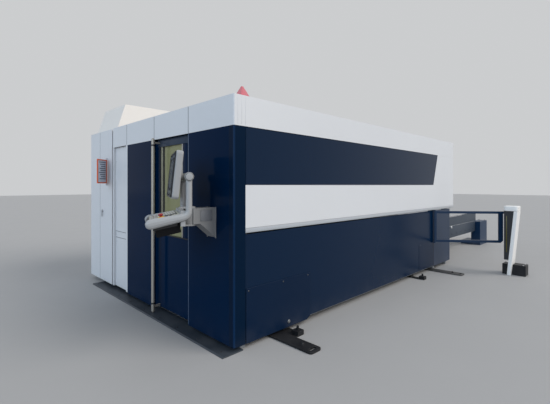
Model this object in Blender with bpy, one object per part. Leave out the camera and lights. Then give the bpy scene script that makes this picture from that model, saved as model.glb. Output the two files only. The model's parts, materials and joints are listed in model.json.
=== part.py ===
"""Enclosed fiber laser cutting machine with a service bay, a swivelling console and a pallet changer.

The machine is laid out from the cabin's corner on the floor: X runs from the door face along the window side
to the pallet changer, Y from the window side to the back, Z up from the floor. A root empty carries every
piece, and its place centres the machine's bounding box on the world origin. All sizes are in metres.
"""

import math

import bmesh
import bpy
from mathutils import Matrix, Vector

# Shared fits
SEAT = 0.0003
WELD = 0.00001
SHEET = 0.004
OVERRUN = 0.010
ROUND_STEPS = 16

# Cabin
CABIN_LENGTH = 5.607
CABIN_DEPTH = 2.907
CABIN_HEIGHT = 2.400
PANEL_BOTTOM = 0.060
FASCIA_BOTTOM = 2.110
PAN_DEPTH = 0.030
SEAM_WIDTH = 0.004
SEAM_DEPTH = 0.0025

# Cabin frame of square tube
POST_TUBE = 0.080
RAIL_TUBE = 0.076
FRONT_POCKET = 0.100
FRAME_TOP = 2.350
FRAME_PAD = 0.060
HEADER_Z = 2.215
ROOF_BEAM_PITCH = 1.750
END_WALL_X = 5.370

# Corner post
CORNER_FRONT = 0.074
CORNER_SIDE = 0.139
CORNER_RADIUS = 0.014
CORNER_STEPS = 4

# Long side
BAND_BOTTOM = 1.100
BAND_TOP = 1.555
BAND_LIP = 0.046
BAND_LIP_SET = 0.006
GLASS_SET = 0.002
GLASS_THICKNESS = 0.008
WINDOW_END_LOW = 4.600
WINDOW_END_HIGH = 4.800
LOWER_SET = 0.012
LOWER_TOP = 1.085
LOWER_BOTTOM = 0.080
END_PANEL_START = 4.655
END_PANEL_BOTTOM = 0.070
END_PANEL_FLANGE = 0.070
LOWER_SEAM_X = 4.000
LOWER_SEAM_TOP = 0.500
COVER_START = 0.150
COVER_END = 1.100
COVER_TOP = 0.570
COVER_BOTTOM = 0.045
COVER_PROUD = 0.008
COVER_CORNER = 0.060

# Front: fixed panels and sliding door
DOOR_LOW = 0.790
DOOR_HIGH = 1.640
LEFT_PANEL_END = 2.380
STRIP_WIDTH = 0.050
RECESS = 0.030
SERVICE_POST = 0.037
HATCH_LOW = 0.780
HATCH_HIGH = 0.870
FASCIA_SEAM_MID = 1.580
LEAF_LAP = 0.015
LEAF_SET = 0.045
LEAF_THICKNESS = 0.040
LEAF_BOTTOM = 0.070
LEAF_TOP = 2.085
PANE_MARGIN_LOW = 0.095
PANE_MARGIN_HIGH = 0.125
PANE_BOTTOM = 0.960
PANE_TOP = 2.025
PANE_THICKNESS = 0.010
BAR_RADIUS = 0.015
BAR_STANDOFF = 0.045
BAR_EDGE_SET = 0.109
BAR_BOTTOM = 0.020
BAR_TOP = 2.120
BRACKET_WIDTH = 0.022
BRACKET_HEIGHT = 0.024
BRACKET_INSET = 0.018
RAIL_HEIGHT = 0.058
RAIL_DEPTH = 0.060
RAIL_LIP = 0.020
HANGER_WIDTH = 0.060
HANGER_STEM = 0.010
HANGER_HEAD = 0.030
HANGER_HEAD_HEIGHT = 0.026
HANGER_INSET = 0.110
THRESHOLD_REACH = 0.130
THRESHOLD_HEIGHT = 0.012
THRESHOLD_RAMP = 0.014
THRESHOLD_LENGTH = 3.400

# Service bay
JOINT_WIDTH = 0.039
JOINT_SET = 0.020
BAY_DEPTH = 0.924
BAY_LENGTH = 2.600
BAY_WALL = 0.020
BAY_PLINTH_SET = 0.090
BAY_SPLIT = 0.504
DOOR_SPLIT_GAP = 0.003
BAY_DOOR_TOP_GAP = 0.004
LEVER_Y_SET = 0.120
LEVER_Z = 1.150
LEVER_BOSS_RADIUS = 0.018
LEVER_BOSS_HEIGHT = 0.022
LEVER_LENGTH = 0.090
LEVER_WIDTH = 0.018
LEVER_THICKNESS = 0.008
PLATE_X = 0.500
PLATE_MARGIN = 0.060
DEVICE_ROWS = 4
DEVICE_HEIGHT = 0.180
DEVICE_DEPTH = 0.120
DEVICE_MARGIN = 0.060
SOURCE_START = 0.900
SOURCE_LENGTH = 1.100
SOURCE_WIDTH = 0.700
SOURCE_HEIGHT = 1.100
SOURCE_FIN_COUNT = 8
SOURCE_FIN_WIDTH = 0.020
SOURCE_FIN_DEPTH = 0.012
SOURCE_FIN_MARGIN = 0.080

# Document sleeve on the bay door
SLEEVE_HINGE_Y = 3.130
SLEEVE_BOTTOM = 1.580
SLEEVE_WIDTH = 0.240
SLEEVE_HEIGHT = 0.360
SLEEVE_BORDER = 0.016
SLEEVE_DEPTH = 0.014
SLEEVE_SKIN = 0.006
SLEEVE_OFFSET = 0.016
SLEEVE_OPEN_DEG = 130.0
SLEEVE_LUG = 0.020
SLEEVE_LUG_HEIGHT = 0.030

# Roof, hood and beacon
ROOF_TOP = 2.385
HOOD_START = 0.075
HOOD_SLANT = 0.125
HOOD_LENGTH = 2.300
HOOD_HEIGHT = 0.400
HOOD_HIGH_Y = 3.790
HOOD_CHAMFER = 0.050
BEACON_X = 0.260
BEACON_Y = 0.200
BEACON_SIDE = 0.250
BEACON_BASE = 0.030
BEACON_APEX = 0.165
BEACON_TIP_SHARE = 0.16

# Cabin end: portal, housing and shutter
PORTAL_LOW_Y = 0.400
PORTAL_SILL = 0.745
END_WALL_TOP = 1.040
SOFFIT_START = 5.430
HOUSING_TOP_RETURN = 0.110
GUIDE_WIDTH = 0.030
GUIDE_DEPTH = 0.046
GUIDE_BOTTOM = 0.720
GUIDE_TOP = 1.650
SHUTTER_LAP = 0.040
SHUTTER_THICKNESS = 0.020
SHUTTER_HEIGHT = 0.470
SHUTTER_REST_Z = 1.160
SHUTTER_RIB = 0.012

# Machine bed
BED_START = 0.450
BED_END = 5.200
BED_BEAM_Y = 0.150
BED_BEAM_WIDTH = 0.200
BED_BOTTOM = 0.140
BED_TOP = 1.000
BED_CROSS_WIDTH = 0.160
BED_CROSS_HEIGHT = 0.200
BED_CROSS_COUNT = 4
BED_PAD = 0.140
LEDGE_REACH = 0.140
LEDGE_THICKNESS = 0.030
PALLET_RAIL_Z = 0.800
LEDGE_END = END_WALL_X - PAN_DEPTH - SEAT
GUIDEWAY_WIDTH = 0.034
GUIDEWAY_WAIST = 0.022
GUIDEWAY_HEIGHT = 0.034
GUIDEWAY_SET = 0.100

# Gantry, carriage and cutting head
GANTRY_REST_X = 1.300
GANTRY_SHOE_LENGTH = 0.500
GANTRY_DEPTH = 0.300
GANTRY_BEAM_BOTTOM = 1.130
GANTRY_BEAM_HEIGHT = 0.320
GANTRY_SLOPE = 0.110
CROSS_RAIL_WIDTH = 0.030
CROSS_RAIL_DEPTH = 0.024
CROSS_RAIL_PITCH = 0.180
CARRIAGE_REST_Y = 0.750
CARRIAGE_WIDTH = 0.260
CARRIAGE_PLATE = 0.040
CARRIAGE_RISE = 0.240
HEAD_REST_Z = 1.020
HEAD_RADIUS = 0.045
HEAD_OFFSET = 0.065
HEAD_BODY_LOW = 0.140
HEAD_BODY_HEIGHT = 0.420
NOZZLE_RADIUS = 0.006
NOZZLE_CONE = 0.020
HEAD_BACK_WIDTH = 0.070

# Pallets
PALLET_START = 1.550
PALLET_LENGTH = 3.050
PALLET_HALF_WIDTH = 0.920
PALLET_RAIL = 0.050
PALLET_BOTTOM = 0.018
PALLET_HEIGHT = 0.080
SLAT_COUNT = 20
SLAT_THICKNESS = 0.005
SLAT_TOOTH = 0.030
SLAT_TEETH = 8
SLAT_DROP = 0.055
ROLLER_RADIUS = 0.035
ROLLER_WIDTH = 0.040
ROLLER_GAP = 0.070
ROLLER_PITCH = 1.150
ROLLER_PAIRS = 3
ROLLER_AXLE = 0.012
ROLLER_STEPS = 12
PALLET_TRAVEL = 3.900

# Pallet changer
LEVEL_STEP = 0.230
LIFT_START = 5.430
LIFT_END = 8.310
LIFT_CLEARANCE = SEAT
LIFT_OUTER_Y = 0.345
LIFT_UPPER_SET = 0.015
LIFT_WEB = 0.025
LIFT_TOP_Z = 0.840
LIFT_SPLIT_Z = 0.620
LIFT_BOTTOM_Z = 0.360
LIFT_LEDGE = 0.020
LIFT_CROSS_WIDTH = 0.140
LIFT_CROSS_HEIGHT = 0.100
LIFT_CROSS_START = 5.850
LIFT_CROSS_PITCH = 1.100
LIFT_CROSS_COUNT = 3
RAM_SIDE = 0.110
RAM_CLEARANCE = 0.004
SLEEVE_WALL = 0.018
BASE_BEAM_WIDTH = 0.300
BASE_BEAM_HEIGHT = 0.100
BASE_BEAM_END = 8.250
RAM_FLOOR_GAP = 0.015
BLOCK_START = 8.210
BLOCK_END = 8.800
BLOCK_LOW_Y = 0.226
BLOCK_HIGH_Y = 0.441
BLOCK_BOTTOM = 0.090
BLOCK_TOP = 0.607
BLOCK_BEVEL = 0.006
BLOCK_FOOT_REACH = 0.470

# Guarding beside the changer
GATE_X = 4.610
GATE_AXIS_Y = 0.024
GATE_LENGTH = 1.170
GATE_BOTTOM = 0.520
GATE_TOP = 1.082
GATE_TUBE = 0.042
GATE_THICKNESS = 0.034
GATE_END_WIDTH = 0.070
GATE_CHAMFER = 0.040
GATE_LATCH = 0.035
GATE_OPEN_DEG = -50.0
GATE_EAR = 0.016
GATE_HINGE_WIDTH = 0.034
GATE_BACK = 0.010
COLUMN_X = 5.140
COLUMN_Y = 1.030
COLUMN_DEPTH = 0.240
SLAB_THICKNESS = 0.055
SLAB_LEAN_DEG = 5.3
SLAB_TOP = 1.105
COLUMN_BASE_SET = 0.080
COLUMN_BASE_DEPTH = 0.210
COLUMN_BASE_FAR = 0.945
COLUMN_BASE_NEAR = 1.290
COLUMN_BASE_HEIGHT = 0.180
CURTAIN_Y = 0.984
CURTAIN_BOTTOM = 0.260
CURTAIN_SET = 0.025
CURTAIN_LENS_LOW = 0.390
CURTAIN_LENS_HIGH = 1.020
CURTAIN_LENS_SET = 0.030
CURTAIN_LENS = 0.016
CAP_HEIGHT = 0.085
CAP_LAP = 0.006
CAP_CORNER = 0.045
CAP_BEVEL = 0.012

# Feet that stand out from under the long side
ANCHOR_X = 0.490
ANCHOR_WIDTH = 0.160
ANCHOR_REACH = 0.510
ANCHOR_THICKNESS = 0.020
ANCHOR_CORNER = 0.030
ANCHOR_SLOT_LENGTH = 0.110
ANCHOR_SLOT_WIDTH = 0.034
ANCHOR_SLOT_SET = 0.035
ANCHOR_REAR_X = END_PANEL_START + POST_TUBE / 2 - FRAME_PAD / 2 - SEAT - ANCHOR_WIDTH
ANCHOR_INSIDE = BED_BEAM_Y + BED_BEAM_WIDTH / 2 - BED_PAD / 2 - SEAT
JACK_SIDE = 0.090
JACK_HEIGHT = 0.050
JACK_X = 0.700
JACK_REAR_X = 3.795
JACK_REACH = 0.165
JACK_BOLT_RADIUS = 0.014
JACK_BOLT_HEIGHT = 0.040
JACK_STUD = 0.040

# Console
SWIVEL_X = 0.250
SWIVEL_Y = 0.351
CONSOLE_YAW_DEG = -24.5
TUBE_FORWARD = 0.035
ARM_HALF_WIDTH = 0.066
ARM_TOP = 1.337
ARM_BOTTOM = 1.190
WEDGE_BOTTOM = 1.046
WEDGE_REACH = 0.175
ARM_PANEL_INSET = 0.018
ARM_PANEL_DEPTH = 0.003
BOSS_RADIUS = 0.055
CHEEK_HALF_SPAN = 0.250
CHEEK_RADIUS = 0.0275
CHEEK_REACH = 0.394
CHEEK_FRONT_HALF = 0.044
CHEEK_REAR_HALF = 0.035
CHEEK_ELBOW_Z = 1.273
CHEEK_FALL_DEG = 11.0
CHEEK_BEND = 0.060
CHEEK_BEND_STEPS = 4
CHEEK_NOSE_STEPS = 4
CHEEK_NOSE_TURN_DEG = 72.0
CHEEK_SIDES = 12
YOKE_FRONT = 0.104
YOKE_BACK = 0.064
YOKE_TOP = 1.330
YOKE_BOTTOM = 1.196
EAR_THICKNESS = 0.014
TILT_Z = 1.627
KNUCKLE_RADIUS = 0.039
KNUCKLE_LENGTH = 0.066
KNUCKLE_STEPS = 20
MONITOR_LEAN_DEG = 6.0
MONITOR_BACK = 0.066
MONITOR_THICKNESS = 0.061
MONITOR_HALF_WIDTH = 0.270
MONITOR_BELOW = 0.205
MONITOR_ABOVE = 0.220
MONITOR_CORNER = 0.030
MONITOR_BEVEL = 0.012
MONITOR_LUG_HALF = 0.120
SCREEN_DEPTH = 0.006
SCREEN_BORDER = 0.012
TRAY_START = YOKE_FRONT + SEAT
TRAY_END = 0.382
TRAY_TOP = 1.302
TRAY_DEPTH = 0.066
TRAY_NOSE = 0.024
UNDERPAN_START = 0.130
UNDERPAN_END = 0.330
UNDERPAN_DEPTH = 0.030
DECK_START = 0.125
DECK_END = 0.340
DECK_THICKNESS = 0.006
KEY_COLUMNS = 9
KEY_ROWS = 4
KEY_GAP = 0.006
KEY_RISE = 0.005
KEY_HALF_WIDTH = 0.190
KEY_SIDE_SHIFT = 0.025
STOP_FORWARD = 0.262
STOP_SIDE = 0.170
COLLAR_RADIUS = 0.028
COLLAR_HEIGHT = 0.008
STOP_HEAD_RADIUS = 0.021
STOP_STEM_RADIUS = 0.012
STOP_HEAD_HEIGHT = 0.016
STOP_STEPS = 16

# Places worked out from the sizes above
FRAME_NEAR_Y = PAN_DEPTH + SEAT + POST_TUBE / 2
FRAME_FAR_Y = CABIN_DEPTH - FRAME_NEAR_Y
FRAME_FRONT_X = FRONT_POCKET + POST_TUBE / 2
FRAME_REAR_X = END_WALL_X - PAN_DEPTH - SEAT - POST_TUBE / 2
CENTRE_Y = CABIN_DEPTH / 2
BAY_LOW_Y = CABIN_DEPTH + JOINT_WIDTH
BAY_HIGH_Y = BAY_LOW_Y + BAY_DEPTH
GANTRY_FRONT_X = GANTRY_REST_X - GANTRY_DEPTH / 2
CARRIAGE_BACK_X = GANTRY_FRONT_X - CROSS_RAIL_DEPTH - SEAT
CARRIAGE_FRONT_X = CARRIAGE_BACK_X - CARRIAGE_PLATE
HEAD_X = CARRIAGE_FRONT_X - HEAD_OFFSET
PALLET_FRAME_TOP = PALLET_RAIL_Z + PALLET_BOTTOM + PALLET_HEIGHT

FINISHES = {
    "white paint": ((0.60, 0.64, 0.68), 0.40, 0.0),
    "pale grey paint": ((0.55, 0.56, 0.57), 0.40, 0.0),
    "deep blue paint": ((0.010, 0.025, 0.055), 0.22, 0.0),
    "mid blue paint": ((0.020, 0.045, 0.085), 0.30, 0.0),
    "slate paint": ((0.055, 0.075, 0.110), 0.40, 0.0),
    "dark glass": ((0.012, 0.022, 0.040), 0.06, 0.0),
    "laser glass": ((0.25, 0.26, 0.08), 0.08, 0.0),
    "anodised bar": ((0.42, 0.41, 0.39), 0.35, 0.8),
    "frame paint": ((0.18, 0.20, 0.22), 0.50, 0.0),
    "black steel": ((0.015, 0.015, 0.017), 0.45, 0.3),
    "bright steel": ((0.55, 0.56, 0.58), 0.30, 1.0),
    "console shell": ((0.42, 0.44, 0.46), 0.45, 0.0),
    "cream deck": ((0.62, 0.60, 0.52), 0.50, 0.0),
    "key grey": ((0.30, 0.31, 0.31), 0.55, 0.0),
    "signal red": ((0.55, 0.02, 0.02), 0.35, 0.0),
    "signal yellow": ((0.80, 0.55, 0.03), 0.40, 0.0),
    "orange frame": ((0.70, 0.10, 0.03), 0.45, 0.0),
    "red lens": ((0.75, 0.20, 0.22), 0.20, 0.0),
    "black plastic": ((0.012, 0.012, 0.013), 0.40, 0.0),
    "sheet zinc": ((0.45, 0.47, 0.49), 0.45, 0.7),
}


def clear_scene():
    """Remove every object that the scene starts with."""
    for item in list(bpy.data.objects):
        bpy.data.objects.remove(item, do_unlink=True)


def dress(item, finish):
    """Give the object a material of its own with the named finish."""
    colour, roughness, metallic = FINISHES[finish]
    material = bpy.data.materials.new(item.name)
    material.use_nodes = True
    shader = material.node_tree.nodes["Principled BSDF"]
    shader.inputs["Base Color"].default_value = (*colour, 1.0)
    shader.inputs["Roughness"].default_value = roughness
    shader.inputs["Metallic"].default_value = metallic
    item.data.materials.clear()
    item.data.materials.append(material)


def joint_empty(name, place, parent=None, turn=(0.0, 0.0, 0.0)):
    """Add an empty at `place` in its parent's frame, turned by the Euler angles in `turn`."""
    empty = bpy.data.objects.new(name, None)
    bpy.context.scene.collection.objects.link(empty)
    empty.parent = parent
    empty.location = place
    empty.rotation_euler = turn
    return empty


def add_part(name, form, finish, parent, origin=(0.0, 0.0, 0.0), smooth_deg=35.0):
    """Turn the bmesh `form` into an object whose origin, at `origin` in its coordinates, lies on its parent."""
    bmesh.ops.recalc_face_normals(form, faces=form.faces)
    bmesh.ops.translate(form, verts=form.verts, vec=-Vector(origin))
    mesh = bpy.data.meshes.new(name)
    form.to_mesh(mesh)
    form.free()
    mesh.shade_smooth()
    mesh.set_sharp_from_angle(angle=math.radians(smooth_deg))
    item = bpy.data.objects.new(name, mesh)
    bpy.context.scene.collection.objects.link(item)
    item.parent = parent
    dress(item, finish)
    return item


def place(axis, u, v, w):
    """Point with outline coordinates u, v and distance w along the named axis."""
    return {"X": (w, u, v), "Y": (u, w, v), "Z": (u, v, w)}[axis]


def rectangle(u_low, v_low, u_high, v_high):
    """Outline of a rectangle between two corners."""
    return [(u_low, v_low), (u_high, v_low), (u_high, v_high), (u_low, v_high)]


def circle(u, v, radius, steps=ROUND_STEPS):
    """Outline of a circle as a regular polygon."""
    turns = [2 * math.pi * step / steps for step in range(steps)]
    return [(u + radius * math.cos(turn), v + radius * math.sin(turn)) for turn in turns]


def rounded(outline, radii, steps=CORNER_STEPS):
    """Outline with each corner replaced by an arc; a radius of zero keeps the corner."""
    result = []
    for index, corner in enumerate(outline):
        radius = radii[index] if isinstance(radii, (list, tuple)) else radii
        here = Vector(corner)
        if not radius:
            result.append(tuple(here))
            continue
        back = (Vector(outline[index - 1]) - here).normalized()
        ahead = (Vector(outline[(index + 1) % len(outline)]) - here).normalized()
        half = back.angle(ahead) / 2
        centre = here + (back + ahead).normalized() * (radius / math.sin(half))
        start = here + back * (radius / math.tan(half)) - centre
        sweep = start.angle_signed(here + ahead * (radius / math.tan(half)) - centre)
        for step in range(steps + 1):
            arm = Matrix.Rotation(-sweep * step / steps, 2) @ start
            result.append(tuple(centre + arm))
    return result


def shifted(outline, distance):
    """Closed outline moved inwards by `distance`, with mitred corners."""
    area = sum(a[0] * b[1] - b[0] * a[1] for a, b in zip(outline, outline[1:] + outline[:1]))
    side = 1.0 if area > 0 else -1.0
    result = []
    for index, corner in enumerate(outline):
        here = Vector(corner)
        before = (here - Vector(outline[index - 1])).normalized()
        after = (Vector(outline[(index + 1) % len(outline)]) - here).normalized()
        first = Vector((-before.y, before.x)) * side
        second = Vector((-after.y, after.x)) * side
        mitre = (first + second).normalized()
        result.append(tuple(here + mitre * (distance / mitre.dot(first))))
    return result


def folded(path, thickness=SHEET):
    """Outline of a folded sheet whose outer face follows `path`, with the sheet on the path's left."""
    points = [Vector(point) for point in path]
    legs = [(b - a).normalized() for a, b in zip(points, points[1:])]
    inner = []
    for index, point in enumerate(points):
        before = legs[max(index - 1, 0)]
        after = legs[min(index, len(legs) - 1)]
        first = Vector((-before.y, before.x))
        mitre = (first + Vector((-after.y, after.x))).normalized()
        inner.append(point + mitre * (thickness / mitre.dot(first)))
    return [tuple(point) for point in points] + [tuple(point) for point in reversed(inner)]


def plate(loops, axis, start, stop):
    """Flat solid from an outer outline and any hole outlines, extruded along the axis."""
    form = bmesh.new()
    edges = []
    for loop in loops:
        ring = [form.verts.new(place(axis, u, v, start)) for u, v in loop]
        edges += [form.edges.new(pair) for pair in zip(ring, ring[1:] + ring[:1])]
    bmesh.ops.triangle_fill(form, use_beauty=True, use_dissolve=False, edges=edges)
    region = bmesh.ops.extrude_face_region(form, geom=list(form.faces))
    moved = [piece for piece in region["geom"] if isinstance(piece, bmesh.types.BMVert)]
    bmesh.ops.translate(form, verts=moved, vec=place(axis, 0.0, 0.0, stop - start))
    bmesh.ops.recalc_face_normals(form, faces=form.faces)
    return form


def prism(outline, axis, start, stop):
    """Solid of one outline extruded along the axis."""
    return plate([outline], axis, start, stop)


def block(low, high):
    """Box between two opposite corners."""
    return prism(rectangle(low[0], low[1], high[0], high[1]), "Z", low[2], high[2])


def pan(outline, axis, face, back, wall=SHEET, skin=SHEET):
    """Tray-shaped panel: a skin at `face`, walls to `back` and open there."""
    form = bmesh.new()
    inset = shifted(outline, wall)
    floor = face + math.copysign(skin, back - face)
    rings = [
        [form.verts.new(place(axis, u, v, w)) for u, v in loop]
        for loop, w in ((outline, face), (outline, back), (inset, back), (inset, floor))
    ]
    form.faces.new(rings[0])
    form.faces.new(rings[-1])
    for first, second in zip(rings, rings[1:]):
        for a, b, c, d in zip(first, first[1:] + first[:1], second[1:] + second[:1], second):
            form.faces.new((a, b, c, d))
    bmesh.ops.recalc_face_normals(form, faces=form.faces)
    return form


def turned(profile, centre, axis="Z", steps=ROUND_STEPS):
    """Solid of revolution; the profile lists (radius, height) from one end of the axis to the other."""
    form = bmesh.new()
    rings = []
    for radius, height in profile:
        loop = circle(0.0, 0.0, radius, steps)
        rings.append([form.verts.new(Vector(centre) + Vector(place(axis, u, v, height))) for u, v in loop])
    form.faces.new(rings[0])
    form.faces.new(rings[-1])
    for first, second in zip(rings, rings[1:]):
        for a, b, c, d in zip(first, first[1:] + first[:1], second[1:] + second[:1], second):
            form.faces.new((a, b, c, d))
    bmesh.ops.recalc_face_normals(form, faces=form.faces)
    return form


def lofted(rings):
    """Solid through a list of rings of points, capped at both ends."""
    form = bmesh.new()
    loops = [[form.verts.new(point) for point in ring] for ring in rings]
    form.faces.new(loops[0])
    form.faces.new(loops[-1])
    for first, second in zip(loops, loops[1:]):
        for a, b, c, d in zip(first, first[1:] + first[:1], second[1:] + second[:1], second):
            form.faces.new((a, b, c, d))
    bmesh.ops.recalc_face_normals(form, faces=form.faces)
    return form


def bevelled(form, width, segments=1, angle_deg=50.0):
    """The form with its sharp edges bevelled."""
    sharp = [edge for edge in form.edges if edge.calc_face_angle(0.0) > math.radians(angle_deg)]
    bmesh.ops.bevel(form, geom=sharp, offset=width, segments=segments, affect="EDGES", profile=0.5)
    return form


def gathered(forms):
    """One bmesh with the separate solids of several."""
    total = bmesh.new()
    for form in forms:
        mesh = bpy.data.meshes.new("gathered")
        form.to_mesh(mesh)
        form.free()
        total.from_mesh(mesh)
        bpy.data.meshes.remove(mesh)
    return total


def guide(form):
    """Temporary object that carries a form through a Boolean modifier."""
    mesh = bpy.data.meshes.new("guide")
    bmesh.ops.recalc_face_normals(form, faces=form.faces)
    form.to_mesh(mesh)
    form.free()
    item = bpy.data.objects.new("guide", mesh)
    bpy.context.scene.collection.objects.link(item)
    item.hide_render = True
    item.display_type = "WIRE"
    return item


def combined(form, tools, operation):
    """The form joined with, or cut by, each of the tool forms."""
    subject = guide(form)
    helpers = [guide(tool) for tool in tools]
    for helper in helpers:
        modifier = subject.modifiers.new("combine", "BOOLEAN")
        modifier.solver = "EXACT"
        modifier.operation = operation
        modifier.object = helper
    bpy.context.view_layer.update()
    depsgraph = bpy.context.evaluated_depsgraph_get()
    mesh = bpy.data.meshes.new_from_object(subject.evaluated_get(depsgraph))
    result = bmesh.new()
    result.from_mesh(mesh)
    bmesh.ops.remove_doubles(result, verts=result.verts, dist=WELD)
    for item in [subject, *helpers]:
        spent = item.data
        bpy.data.objects.remove(item, do_unlink=True)
        bpy.data.meshes.remove(spent)
    bpy.data.meshes.remove(mesh)
    return result


def united(forms):
    """Union of overlapping forms."""
    return combined(forms[0], forms[1:], "UNION")


def cut(form, tools):
    """The form with the tools' volumes taken away."""
    return combined(form, tools, "DIFFERENCE")


def square_bar(axis, start, stop, u, v, width, height=None):
    """Square or rectangular bar centred on (u, v), running along the axis."""
    half_u = width / 2
    half_v = (height or width) / 2
    return prism(rectangle(u - half_u, v - half_v, u + half_u, v + half_v), axis, start, stop)


def mirrored_y(form, centre=CENTRE_Y):
    """Copy of the form mirrored across the machine's middle plane."""
    copy = form.copy()
    for vert in copy.verts:
        vert.co.y = 2 * centre - vert.co.y
    bmesh.ops.reverse_faces(copy, faces=copy.faces)
    return copy


def make_cabin_frame(root):
    """Welded skeleton of square tube that every cabin panel hangs on."""
    rail = RAIL_TUBE / 2
    base_z = PANEL_BOTTOM + POST_TUBE / 2
    top_z = FRAME_TOP - rail
    band_z = BAND_BOTTOM + PAN_DEPTH
    door_posts = (DOOR_LOW - POST_TUBE / 2, DOOR_HIGH + POST_TUBE / 2)
    corners = [(x, y) for x in (FRAME_FRONT_X, FRAME_REAR_X) for y in (FRAME_NEAR_Y, FRAME_FAR_Y)]
    middle_x = END_PANEL_START + POST_TUBE / 2
    places = corners + [(middle_x, FRAME_NEAR_Y), (middle_x, FRAME_FAR_Y)]
    places += [(FRAME_FRONT_X, y) for y in door_posts]
    forms = [square_bar("Z", PANEL_BOTTOM, FRAME_TOP, x, y, POST_TUBE) for x, y in places]
    housing_x = CABIN_LENGTH - PAN_DEPTH
    for y in (FRAME_NEAR_Y, FRAME_FAR_Y):
        forms.append(square_bar("X", FRAME_FRONT_X, FRAME_REAR_X, y, base_z, RAIL_TUBE))
        forms.append(square_bar("X", FRAME_FRONT_X, housing_x, y, top_z - SHEET, RAIL_TUBE))
        forms.append(square_bar("X", FRAME_FRONT_X, housing_x, y, band_z, RAIL_TUBE))
    for x in (FRAME_FRONT_X, FRAME_REAR_X):
        forms.append(square_bar("Y", FRAME_NEAR_Y, FRAME_FAR_Y, x, base_z, RAIL_TUBE - SHEET))
        forms.append(square_bar("Y", FRAME_NEAR_Y, FRAME_FAR_Y, x, top_z - SHEET, RAIL_TUBE - SHEET))
    for step in (1, 2):
        beam_x = FRAME_FRONT_X + ROOF_BEAM_PITCH * step
        forms.append(square_bar("Y", FRAME_NEAR_Y, FRAME_FAR_Y, beam_x, top_z - SHEET, RAIL_TUBE - SHEET))
    forms.append(square_bar("Y", FRAME_NEAR_Y, FRAME_FAR_Y, FRAME_FRONT_X, HEADER_Z - rail, RAIL_TUBE - SHEET))
    for x, y in places:
        forms.append(square_bar("Z", 0.0, base_z, x, y, FRAME_PAD))
    add_part("cabin_frame", united(forms), "frame paint", root)


def make_corner_post(root):
    """Folded post that wraps the cabin's corner, with a return on each leg."""
    side_end = CORNER_SIDE - SEAT
    front_end = CORNER_FRONT - SEAT
    corner = rounded([(side_end, 0.0), (0.0, 0.0), (0.0, front_end)], [0, CORNER_RADIUS, 0])
    path = [(side_end, PAN_DEPTH)] + corner + [(PAN_DEPTH, front_end)]
    outline = folded(path[::-1])
    form = prism(outline, "Z", PANEL_BOTTOM - OVERRUN, FASCIA_BOTTOM - SEAT)
    add_part("corner_post", form, "mid blue paint", root)


def groove(axis, centre, low, high, face, depth=SEAM_DEPTH):
    """Thin cutting tool for a seam: `axis` is the seam's own thickness direction on a face of constant X or Y."""
    half = SEAM_WIDTH / 2
    if axis == "Y":
        return block((face - OVERRUN, centre - half, low), (face + depth, centre + half, high))
    if axis == "X":
        return block((centre - half, face - OVERRUN, low), (centre + half, face + depth, high))
    return block((face - OVERRUN, low, centre - half), (face + depth, high, centre + half))


def make_long_side(root):
    """Fascia, window, band and lower panels of the long side, in the order they stand from the roof down."""
    low_x = CORNER_SIDE + SEAT
    high_x = CABIN_LENGTH
    fascia = [(low_x, FASCIA_BOTTOM), (high_x, FASCIA_BOTTOM), (high_x, CABIN_HEIGHT), (low_x, CABIN_HEIGHT)]
    add_part("side_fascia", pan(fascia, "Y", 0.0, PAN_DEPTH), "white paint", root)

    glass = [
        (low_x, BAND_TOP + SEAT),
        (WINDOW_END_LOW - SEAT, BAND_TOP + SEAT),
        (WINDOW_END_HIGH - SEAT, FASCIA_BOTTOM - SEAT),
        (low_x, FASCIA_BOTTOM - SEAT),
    ]
    pane = prism(glass, "Y", GLASS_SET, GLASS_SET + GLASS_THICKNESS)
    add_part("side_window", pane, "dark glass", root)

    tail = [
        (WINDOW_END_LOW + SEAT, BAND_TOP + SEAT),
        (high_x, BAND_TOP + SEAT),
        (high_x, FASCIA_BOTTOM - SEAT),
        (WINDOW_END_HIGH + SEAT, FASCIA_BOTTOM - SEAT),
    ]
    add_part("side_upper_panel", pan(tail, "Y", 0.0, PAN_DEPTH), "white paint", root)

    lip_top = BAND_BOTTOM + BAND_LIP
    path = [
        (PAN_DEPTH, BAND_TOP),
        (0.0, BAND_TOP),
        (0.0, lip_top),
        (BAND_LIP_SET, lip_top),
        (BAND_LIP_SET, BAND_BOTTOM),
        (PAN_DEPTH, BAND_BOTTOM),
    ]
    add_part("side_band", prism(folded(path), "X", low_x, high_x), "white paint", root)

    panel = rectangle(low_x, LOWER_BOTTOM, END_PANEL_START - SEAT, LOWER_TOP)
    form = cut(
        pan(panel, "Y", LOWER_SET, PAN_DEPTH),
        [groove("X", LOWER_SEAM_X, LOWER_BOTTOM - OVERRUN, LOWER_SEAM_TOP, LOWER_SET)],
    )
    add_part("side_lower_panel", form, "deep blue paint", root)

    cover = [
        (COVER_START, COVER_BOTTOM),
        (COVER_END - COVER_CORNER, COVER_BOTTOM),
        (COVER_END, COVER_BOTTOM + COVER_CORNER / 2),
        (COVER_END, COVER_TOP),
        (COVER_START, COVER_TOP),
    ]
    cover_back = LOWER_SET - SEAT
    form = bevelled(prism(cover, "Y", cover_back - COVER_PROUD, cover_back), SEAM_DEPTH)
    add_part("side_access_cover", form, "deep blue paint", root)

    panel_end = END_WALL_X + END_PANEL_FLANGE
    end_panel = rectangle(END_PANEL_START + SEAT, END_PANEL_BOTTOM, panel_end, LOWER_TOP)
    seam = groove("X", END_WALL_X, END_PANEL_BOTTOM - OVERRUN, LOWER_TOP + OVERRUN, LOWER_SET)
    form = cut(pan(end_panel, "Y", LOWER_SET, PAN_DEPTH), [seam])
    add_part("side_end_panel", form, "slate paint", root)


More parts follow.
